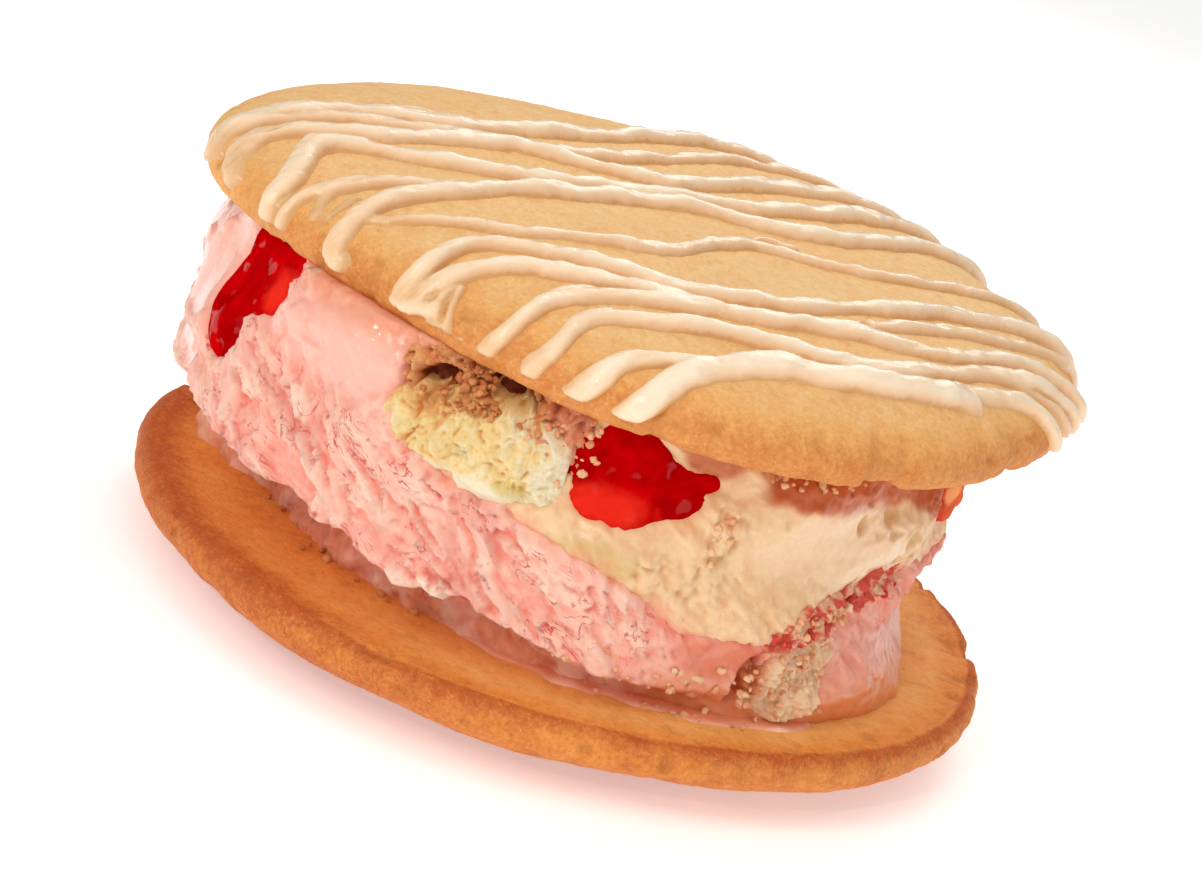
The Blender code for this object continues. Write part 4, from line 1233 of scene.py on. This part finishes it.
@dataclass(frozen=True)
class Sauce(Skin):
    """One lobe of strawberry sauce that wells out of the filling."""

    ovals: tuple = ()
    thin_place: tuple[float, float, float, float] = (0.0, 0.0, 1.0, 1.0)

    def inside(self, angle: Array, level: Array) -> Array:
        """Inside the lobe's ovals."""
        return self.block.patch(self.ovals, angle, level, 0.5)

    def relief(self, angle: Array, level: Array, inside: Array) -> Array:
        """A rounded bead: it rises with the root of the distance from its border."""
        place = self.block.around(angle, level)
        bead = np.sqrt(smooth_step(inside / 3.0))
        return -0.6 + 0.6 * bead + 0.25 * Noise(601).layered(place, 5.0, 2)

    def values(self, angle: Array, level: Array, inside: Array, relief: Array) -> dict[str, Array]:
        """Where the gel is thin enough to glow."""
        thin = oval(angle, level, self.thin_place, self.block.radius)
        return {"thin": 0.9 * smooth_step(thin / 2.6 + 0.4) + 0.3 * smooth_step(1 - inside / 0.4)}


@dataclass(frozen=True)
class Crumble(Skin):
    """Soaked crumble: a pale lump with red crumbs over it and in a band to its right."""

    def inside(self, angle: Array, level: Array) -> Array:
        """Inside the crumble's ovals."""
        return self.block.crumbles(angle, level)

    def relief(self, angle: Array, level: Array, inside: Array) -> Array:
        """Coarse and fine crumbs, proud of the ice cream."""
        place = self.block.around(angle, level)
        return (0.5 + 1.1 * (Noise(701).crumbs(place, 2.8) - 0.45) + 1.2 * (Noise(711).crumbs(place, 1.2) - 0.45)
                + 0.60 * (Noise(715).crumbs(place, 0.6) - 0.45) + 1.7 * Noise(721).layered(place, 3.4, 5, 0.65))

    def values(self, angle: Array, level: Array, inside: Array, relief: Array) -> dict[str, Array]:
        """Tone by depth and dark at the left edge, both painted shade, and red along the band."""
        place = self.block.around(angle, level)
        degrees = np.degrees(np.angle(np.exp(1j * angle)))
        band = smooth_step((level - 16.4 - 0.16 * (degrees + 50.0)) / 1.6)
        red = band * (0.20 + 0.75 * smooth_step(Noise(731).layered(place, 1.1, 3) * 3.0 + 0.6))
        # Painted shadow: the dark gap at the crumble's left edge.
        left = smooth_step((-51.0 - degrees) / 2.5)
        tone = 0.02 + 0.85 * left + 0.35 * np.clip(cavity(relief, 6) / 0.5, 0, 1) + 0.3 * Noise(735).layered(place, 3.0, 3)
        return {"tone": tone, "stain": red}


class CrumbKind(Enum):
    """Loose crumbs by colour."""

    TOASTED = "toasted"
    PEACH = "peach"
    RED = "red"


@dataclass(frozen=True)
class LooseCrumbs:
    """Loose crumbs of one kind as one mesh: uneven balls scattered by a seeded draw."""

    kind: CrumbKind
    finish: CrumbFinish
    slot: str
    block: Block
    seed: int
    zones: tuple[tuple[float, float, float, float, float, float, int], ...]

    def ball(self) -> tuple[Array, Array]:
        """Corners and faces of a twenty-sided ball with each face cut in four."""
        ratio = (1 + 5 ** 0.5) / 2
        corners = [(-1, ratio, 0), (1, ratio, 0), (-1, -ratio, 0), (1, -ratio, 0), (0, -1, ratio), (0, 1, ratio),
                   (0, -1, -ratio), (0, 1, -ratio), (ratio, 0, -1), (ratio, 0, 1), (-ratio, 0, -1), (-ratio, 0, 1)]
        faces = [(0, 11, 5), (0, 5, 1), (0, 1, 7), (0, 7, 10), (0, 10, 11), (1, 5, 9), (5, 11, 4), (11, 10, 2),
                 (10, 7, 6), (7, 1, 8), (3, 9, 4), (3, 4, 2), (3, 2, 6), (3, 6, 8), (3, 8, 9), (4, 9, 5),
                 (2, 4, 11), (6, 2, 10), (8, 6, 7), (9, 8, 1)]
        points = [np.array(c, float) for c in corners]
        middles: dict[tuple[int, int], int] = {}

        def middle(a: int, b: int) -> int:
            """Number of the point half way along an edge."""
            key = (min(a, b), max(a, b))
            if key not in middles:
                middles[key] = len(points)
                centre = points[a] / np.linalg.norm(points[a]) + points[b] / np.linalg.norm(points[b])
                points.append(centre / 2)
            return middles[key]

        small = []
        for a, b, c in faces:
            ab, bc, ca = middle(a, b), middle(b, c), middle(c, a)
            small += [(a, ab, ca), (b, bc, ab), (c, ca, bc), (ab, bc, ca)]
        unit = np.array([point / np.linalg.norm(point) for point in points])
        return unit, np.array(small)

    def scatter(self) -> tuple[Array, Array]:
        """Places and sizes: each zone gives angles, heights, how far out, size and a count."""
        draw = np.random.default_rng(self.seed)
        places, sizes = [], []
        for angle, level, half_width, half_height, out, size, count in self.zones:
            turned = np.radians(angle) + draw.normal(0, 0.5, count) * half_width / self.block.radius
            height = level + np.clip(draw.normal(0, 0.55, count), -1.3, 1.3) * half_height
            height = np.clip(height, self.block.low + 0.4 * size, self.block.high - 0.3)
            on_biscuit = level <= self.block.low + 0.6
            radius = self.block.side(turned, height) + out + draw.normal(0, 0.35, count)
            if on_biscuit:
                radius = round_the_block(self.block.foot, turned) + out + np.abs(draw.normal(0, 0.9, count))
                height = np.full(count, self.block.low + 0.30 * size)
            places.append(np.stack((self.block.shift + radius * np.cos(turned), radius * np.sin(turned), height), -1))
            sizes.append(size * draw.uniform(0.5, 1.35, count))
        return np.vstack(places), np.concatenate(sizes)

    def build(self) -> bpy.types.Object:
        """Joins all crumbs of this kind."""
        unit, faces = self.ball()
        places, sizes = self.scatter()
        draw = np.random.default_rng(self.seed + 1)
        count = len(places)
        stretch = draw.uniform(0.55, 1.25, (count, 1, 3))
        turns = draw.normal(size=(count, 3, 3))
        turns = np.linalg.qr(turns)[0]
        offset = draw.uniform(-50, 50, (count, 1, 3))
        lumps = 1 + 0.85 * Noise(self.seed).layered(unit[None] + offset, 0.9, 3, 0.65)
        points = np.einsum("nij,nvj->nvi", turns, unit[None] * stretch * lumps[..., None])
        points = places[:, None] + points * sizes[:, None, None] / 2
        every = faces[None] + (np.arange(count) * len(unit))[:, None, None]
        mirrored = np.linalg.det(turns) < 0
        every[mirrored] = every[mirrored][:, :, ::-1]
        tone = np.repeat(draw.uniform(0.0, 0.7, count), len(unit))
        stain = np.zeros_like(tone)
        return write_mesh("crumbs_" + self.kind.value, points.reshape(-1, 3), np.zeros((0, 4), int),
                          every.reshape(-1, 3), {"tone": tone, "stain": stain}, self.finish)


@dataclass(frozen=True)
class FruitPiece:
    """A small wet piece of strawberry at the right end, an uneven ball."""

    block: Block
    finish: SauceFinish
    angle: float = -9.0
    out: float = 38.9
    level: float = 29.9
    half_sizes: tuple[float, float, float] = (3.1, 3.4, 3.7)
    rows: int = 40
    sectors: int = 60

    def build(self) -> bpy.types.Object:
        """Makes the piece: a ball drawn out half way to a block and bent by noise."""
        lat = np.linspace(-np.pi / 2, np.pi / 2, self.rows + 2)[1:-1, None]
        lon = np.linspace(0, 2 * np.pi, self.sectors, endpoint=False)[None]
        unit = np.stack((np.cos(lat) * np.cos(lon), np.cos(lat) * np.sin(lon),
                         np.broadcast_to(np.sin(lat), (self.rows, self.sectors))), axis=-1)
        poles = np.array(((0, 0, -1.0), (0, 0, 1.0)))
        unit = np.vstack((unit.reshape(-1, 3), poles))
        square = 1 / np.sum(np.abs(unit) ** 4, axis=-1) ** 0.25
        swell = (0.55 + 0.45 * square) * (1 + 0.26 * Noise(801).layered(unit, 0.8, 3))
        local = unit * np.array(self.half_sizes) * swell[:, None]
        turned = np.radians(self.angle)
        radial, along = self.out + local[:, 0], local[:, 1]
        points = np.stack((self.block.shift + radial * np.cos(turned) - along * np.sin(turned),
                           radial * np.sin(turned) + along * np.cos(turned), self.level + local[:, 2]), axis=-1)
        ring, sector = np.meshgrid(np.arange(self.rows - 1), np.arange(self.sectors), indexing="ij")
        after = (sector + 1) % self.sectors
        quads = np.stack((ring * self.sectors + sector, ring * self.sectors + after,
                          (ring + 1) * self.sectors + after, (ring + 1) * self.sectors + sector), -1).reshape(-1, 4)
        around = np.arange(self.sectors)
        ahead = (around + 1) % self.sectors
        low, top = self.rows * self.sectors, (self.rows - 1) * self.sectors
        triangles = np.vstack((np.stack((np.full(self.sectors, low), ahead, around), -1),
                               np.stack((np.full(self.sectors, low + 1), top + around, top + ahead), -1)))
        thin = smooth_step(Noise(803).layered(unit, 1.0, 2) * 2 + 0.6)
        return write_mesh("strawberry_morsel", points, quads, triangles, {"thin": thin}, self.finish,
                          ("strawberry_piece",))


@dataclass(frozen=True)
class MeltPool:
    """Melted ice cream in a thin film on the lower biscuit round the front of the foot."""

    block: Block
    finish: IceCreamFinish
    first: float = -96.0
    last: float = -40.0
    thickness: float = 0.42
    step: float = 0.25

    def build(self) -> bpy.types.Object:
        """Makes the film: its height is the distance inside a frayed border, rounded off."""
        inner, outer = -4.0, 5.0
        out = np.arange(inner, outer, self.step)
        angle = np.radians(np.arange(self.first, self.last, np.degrees(self.step / self.block.radius)))
        out, angle = np.meshgrid(out, angle, indexing="ij")
        radius = round_the_block(self.block.foot, angle) + out
        place = np.stack((radius * np.cos(angle), radius * np.sin(angle), 0 * radius), axis=-1)
        middle = np.radians((self.first + self.last) / 2)
        taper = 1 - ((angle - middle) / np.radians((self.last - self.first) / 2)) ** 2
        border = 2.6 * taper + 2.2 * Noise(901).layered(place, 6.0, 3) - out - 0.6
        film = self.thickness * np.sqrt(np.clip(border / 1.6, 0, 1)) - 0.5 * smooth_step(-border / 0.4)
        level = self.block.low + film + 0.05 * Noise(903).layered(place, 2.0, 2)
        keep = (border > -0.5)[:-1, :-1] | (border > -0.5)[1:, 1:]
        top = np.stack((self.block.shift + radius * np.cos(angle), radius * np.sin(angle), level), axis=-1)
        under = top.copy()
        under[..., 2] = self.block.low - 0.9
        corners, quads = closed_sheet(top, under, keep, False)
        count = len(corners)
        brown = np.tile(smooth_step(Noise(905).layered(place, 5.0, 2) * 2.5 + 0.4).ravel(), 2)
        rim = np.tile(smooth_step(1 - border / 1.3).ravel(), 2)
        values = {"deep": np.zeros(count), "soft": np.ones(count), "stain": 0.16 * brown,
                  "melt_and_shade": 0.8 * brown * (1 - 0.5 * rim), "crest": np.zeros(count), "tint": 0.4 * rim, "drawn": corners}
        return write_mesh("melt_pool", corners, quads, np.zeros((0, 3), int), values, self.finish)


@dataclass(frozen=True)
class Studio:
    """Pale floor, soft light and the camera at the photo's angle."""

    image: tuple[int, int] = (1202, 880)
    elevation: float = 19.084
    roll: float = 18.651
    eye: tuple[float, float, float] = (0.0, -313.1, 129.0)
    focal_pixels: float = 3061.6
    sensor: float = 36.0
    floor_colour: Colour = (252, 252, 252)
    floor_glow: float = 0.36
    surround: float = 0.26
    sky: float = 1.05
    sky_angle: float = 80.0
    lights: tuple = (
        ("key", (-210.0, -330.0, 330.0), 170.0, 0.58, (255, 246, 236)),
        ("fill", (330.0, -240.0, 160.0), 260.0, 0.26, (255, 243, 232)),
        ("back", (60.0, 330.0, 300.0), 240.0, 0.5, (255, 250, 246)),
        ("spark", (-120.0, -420.0, 260.0), 20.0, 0.20, (255, 250, 244)),
        ("glint", (-380.0, -300.0, 170.0), 15.0, 0.12, (255, 250, 244)),
    )

    def camera(self) -> None:
        """Turns the camera down by its elevation, then rolls it about its own axis."""
        tilt, turn = math.radians(self.elevation), math.radians(self.roll)
        back = Vector((0.0, -math.cos(tilt), math.sin(tilt)))
        level = Vector((1.0, 0.0, 0.0))
        above = back.cross(level)
        right = math.cos(turn) * level + math.sin(turn) * above
        up = -math.sin(turn) * level + math.cos(turn) * above
        data = bpy.data.cameras.new("camera")
        data.sensor_width = self.sensor
        data.lens = self.focal_pixels * self.sensor / self.image[0]
        data.clip_start = 0.01
        eye = Vector(self.eye) * MM
        item = bpy.data.objects.new("camera", data)
        item.matrix_world = Matrix(((right.x, up.x, back.x, eye.x), (right.y, up.y, back.y, eye.y),
                                    (right.z, up.z, back.z, eye.z), (0, 0, 0, 1)))
        bpy.context.scene.collection.objects.link(item)
        bpy.context.scene.camera = item

    def light(self) -> None:
        """Large soft lamps, a small one for sharp glints, and an even pale surround."""
        for name, place, size, power, colour in self.lights:
            data = bpy.data.lights.new(name, "AREA")
            data.size = size * MM
            data.energy = power
            data.color = linear(colour)
            lamp = bpy.data.objects.new(name, data)
            lamp.location = Vector(place) * MM
            aim = Vector((0, 0, 24.0)) * MM - lamp.location
            lamp.rotation_euler = aim.to_track_quat("-Z", "Y").to_euler()
            bpy.context.scene.collection.objects.link(lamp)
        sky = bpy.data.lights.new("sky", "SUN")
        sky.energy = self.sky
        sky.angle = math.radians(self.sky_angle)
        bpy.context.scene.collection.objects.link(bpy.data.objects.new("sky", sky))
        world = bpy.data.worlds.new("surround")
        world.use_nodes = True
        world.node_tree.nodes["Background"].inputs["Color"].default_value = (1.0, 0.985, 0.965, 1.0)
        world.node_tree.nodes["Background"].inputs["Strength"].default_value = self.surround
        bpy.context.scene.world = world
        bpy.context.scene.view_settings.view_transform = "Standard"

    def floor(self) -> None:
        """A wide pale floor that the sandwich rests on."""
        side = 4000.0 * MM
        mesh = bpy.data.meshes.new("floor")
        mesh.from_pydata([(-side, -side, 0), (side, -side, 0), (side, side, 0), (-side, side, 0)], [], [(0, 1, 2, 3)])
        item = bpy.data.objects.new("floor", mesh)
        bpy.context.scene.collection.objects.link(item)
        g = Graph("floor")
        mesh.materials.append(g.finish(Base_Color=self.floor_colour, Roughness=0.75,
                                       Emission_Color=self.floor_colour, Emission_Strength=self.floor_glow))

    def build(self) -> None:
        """Sets up the whole stage."""
        self.camera()
        self.light()
        self.floor()


STRANDS = (
    Strand(3.8, -45.0, 38.0, (19.3, 20.3, 20.5, 18.3, 21.8, 26.3, 29.3)),
    Strand(3.0, -45.0, 43.0, (18.3, 19.1, 17.5, 13.3, 15.3, 19.3, 20.8)),
    Strand(3.6, -47.5, 46.5, (12.8, 15.3, 12.3, 12.8, 7.3, 11.3, 14.3)),
    Strand(3.8, -50.0, 48.0, (4.3, 5.5, 10.3, 5.5, 2.9, 2.5, 1.9, 5.3, 8.8)),
    Strand(3.8, -50.0, 49.5, (-8.7, -5.5, -3.3, -1.8, -0.9, -0.3, -5.0, -2.2, 1.8)),
    Strand(3.0, -50.5, -31.0, (1.8, 1.7, 0.7, -2.0)),
    Strand(2.0, -47.0, -40.0, (-1.5, 0.5, 2.1)),
    Strand(2.5, -44.0, 48.0, (-5.7, -8.0, -11.7, -13.4, -13.8, -9.9, -14.6, -14.2, -12.7)),
    Strand(3.4, -47.5, 45.5, (-18.4, -16.7, -14.5, -18.2, -23.0, -24.5, -24.7, -22.0, -21.2)),
    Strand(3.4, -47.0, -14.0, (-19.3, -19.1, -19.5, -22.6, -26.7)),
    Strand(1.8, -45.5, -38.0, (-22.2, -20.9, -19.5)),
    Strand(3.4, -41.5, 39.0, (-28.7, -27.9, -25.6, -26.0, -27.4, -29.9, -33.7, -32.1, -32.2)),
    Strand(2.7, 5.0, 43.5, (-28.7, -28.6, -27.2, -24.4)),
    Strand(3.4, -38.5, 34.0, (-32.9, -31.7, -29.1, -30.1, -32.5, -37.1, -37.4, -35.7, -36.2)),
    Strand(3.4, -35.5, -21.0, (-36.8, -35.9, -34.9, -36.5)),
    Strand(4.2, -32.0, 9.5, (-40.3, -39.2, -37.0, -37.0, -39.9, -41.5)),
    Strand(3.0, 9.0, 30.0, (-40.0, -40.4, -40.0, -42.7)),
)

FINE_STRANDS = (
    Strand(1.7, -24.0, -4.0, (23.6, 23.4, 21.4, 20.6)),
    Strand(1.6, 12.0, 33.0, (-37.3, -36.4, -37.2, -38.4)),
    Strand(1.5, -44.2, -40.5, (-24.6, -23.2, -21.2)),
    Strand(2.0, -44.2, -39.5, (-22.6, -20.9, -18.4)),
    Strand(2.8, -47.6, -43.8, (-17.2, -19.0, -21.8)),
    Strand(1.8, -45.0, -43.6, (-22.2, -23.0, -23.8)),
    Strand(1.7, -44.8, -43.4, (-24.8, -25.2, -26.0)),
    Strand(2.6, -50.2, -48.6, (-7.4, -8.4, -9.0)),
    Strand(1.4, -46.4, -42.6, (-2.6, -2.2, -1.6)),
    Strand(1.5, -50.0, -42.0, (4.4, 2.9, 2.2)),
    Strand(2.2, 16.0, 23.0, (9.0, 12.8, 10.6)),
    Strand(1.8, 4.5, 9.5, (-8.0, -7.4, -8.6)),
)


def main() -> None:
    """Builds every piece in order, then the stage."""
    logging.basicConfig(level=logging.INFO, format="%(message)s")
    golden = BiscuitFinish("sugar_biscuit", (246, 208, 148), (236, 172, 98), (204, 114, 46), (192, 120, 58))
    browned = BiscuitFinish("browned_biscuit", (250, 192, 112), (238, 156, 72), (192, 92, 34), (156, 80, 34))
    icing = IcingFinish("icing", (255, 236, 210), (248, 213, 174), (224, 178, 124))
    pink = IceCreamFinish("strawberry_ice_cream", (251, 191, 173), (248, 166, 148), (238, 118, 98), (202, 48, 46),
                          (230, 142, 92), (255, 232, 210))
    # The vanilla's warm brown colour serves mostly as a painted shadow under the upper biscuit.
    cream = IceCreamFinish("vanilla_ice_cream", (243, 210, 167), (234, 184, 136), (222, 164, 104), (240, 156, 128),
                           (192, 86, 26), (210, 184, 112), 0.24, 0.0)
    red_gel = SauceFinish("strawberry_sauce", (200, 2, 8), (164, 0, 4), (232, 44, 30))
    fruit = SauceFinish("strawberry_flesh", (232, 116, 76), (206, 62, 44), (248, 172, 112))
    cake = CrumbFinish("yellow_cake", (255, 244, 212), (255, 224, 156), (230, 150, 72), (214, 190, 108))
    crumble = CrumbFinish("crumble", (255, 222, 184), (255, 192, 144), (196, 98, 56), (224, 76, 64), 0.45)
    # The crumb bed's toasted colour serves mostly as painted shadow for its cavities and dark hollows.
    bed = CrumbFinish("crumb_bed", (244, 182, 124), (224, 140, 82), (128, 44, 18), (246, 170, 138), 0.6)
    toasted = CrumbFinish("toasted_crumbs", (238, 170, 112), (214, 132, 76), (150, 66, 32), (174, 93, 62))
    peach = CrumbFinish("peach_crumbs", (255, 218, 172), (252, 186, 140), (232, 146, 98), (240, 170, 140))
    red = CrumbFinish("red_crumbs", (236, 112, 92), (222, 72, 56), (182, 36, 30), (206, 60, 50), 0.4)

    upper = Biscuit("cookie_top", 9.5, 37.6, True, (0.2, 3.4),
                    ((3, -1.9, 0.25), (4, 0.7, 0.1), (5, 0.4, -0.2), (6, 0.25, 0.3)), golden, "iced_biscuit",
                    chips=((-57.0, 2.6, 0.7), (-31.0, 2.2, 0.5), (-14.0, 2.4, 0.6), (-84.0, 1.6, 0.3), (150.0, 2.4, 0.6)))
    lower = LowerBiscuit("cookie_bottom", 8.5, 8.5, False, (0.0, 0.0),
                         ((2, 0.2, 0.15), (3, 0.3, 0.0), (4, 0.2, 0.1), (5, -0.3, 0.0)), browned,
                         "browned_biscuit", chips=((9.0, 2.8, 0.7), (-3.0, 2.2, 0.6), (96.0, 2.4, 0.6)), seed=131)
    upper.build()
    lower.build()
    Icing(upper, STRANDS + FINE_STRANDS, icing).build()

    block = Block()
    low, high = block.low - 0.25, block.high + 0.25
    StrawberryIceCream("strawberry_layer", "strawberry_ice_cream", "pink_ice_cream", block, -270.0, 90.0,
                       low, high, 0.28, behind=1.2, row_step=1.1).make(pink)
    VanillaIceCream("vanilla_layer", "vanilla_ice_cream", "cream_ice_cream", block, -270.0, 90.0,
                    16.0, high, 0.26, behind=1.2).make(cream)
    CakePiece("cake_chunk", "cake_piece", "yellow_cake", block, -116.0, -88.0, 23.0, 36.5, 0.14).make(cake)
    Crumble("soaked_crumble", "strawberry_crumble", "pink_crumble", block, -60.0, -20.0, low, 26.5, 0.15).make(crumble)
    for name, first, last in (("left", -116.0, -84.0), ("right", -68.0, -40.0), ("back", 68.0, 100.0)):
        CrumbBed("crumb_bed_" + name, "", "pink_crumble", block, first, last, 28.0, high, 0.17).make(bed)
    lobes = (("left", block.left_sauce, (-139.6, 33.6, 2.3, 2.8)), ("front", block.front_sauce, (-82.0, 28.8, 5.0, 2.2)),
             ("back", block.back_sauce, (70.0, 30.0, 3.0, 1.5)))
    for name, ovals, thin in lobes:
        middle = ovals[0][0]
        Sauce("sauce_" + name, "strawberry_sauce", "red_sauce", block, middle - 14.0, middle + 18.0, 22.0, high, 0.2,
              ovals=ovals, thin_place=thin).make(red_gel)
    FruitPiece(block, fruit).build()
    MeltPool(block, pink).build()
    LooseCrumbs(CrumbKind.TOASTED, toasted, "pink_crumble", block, 1001,
                ((-103.6, 35.4, 1.8, 1.6, 0.2, 0.8, 44), (-101.0, 33.9, 7.0, 0.5, 0.4, 0.6, 40),
                 (-128.0, 8.6, 14.0, 0.5, 0.2, 0.7, 14), (84.0, 35.0, 8.0, 0.8, 0.2, 0.8, 30))).build()
    LooseCrumbs(CrumbKind.PEACH, peach, "pink_crumble", block, 1011,
                ((-90.0, 32.6, 3.4, 3.4, 0.0, 0.6, 56), (-65.5, 29.0, 2.0, 2.4, 0.0, 0.8, 16),
                 (-51.0, 12.5, 4.0, 3.0, 0.9, 0.7, 30), (-46.5, 14.8, 4.6, 3.6, 0.8, 0.8, 34), (-67.0, 12.8, 7.0, 1.6, 0.0, 0.9, 30), (-74.0, 13.4, 8.0, 1.8, 0.0, 0.7, 40),
                 (-43.0, 20.6, 6.0, 1.0, 0.9, 0.7, 20), (-52.0, 35.2, 6.0, 0.8, 0.2, 0.6, 26),
                 (-60.0, 8.6, 12.0, 0.4, 0.3, 0.7, 12))).build()
    LooseCrumbs(CrumbKind.RED, red, "pink_crumble", block, 1021,
                ((-46.0, 18.6, 4.0, 1.0, 0.7, 0.6, 24), (-36.0, 21.4, 7.0, 0.6, 0.6, 0.6, 34))).build()
    Studio().build()


if __name__ == "__main__":
    main()
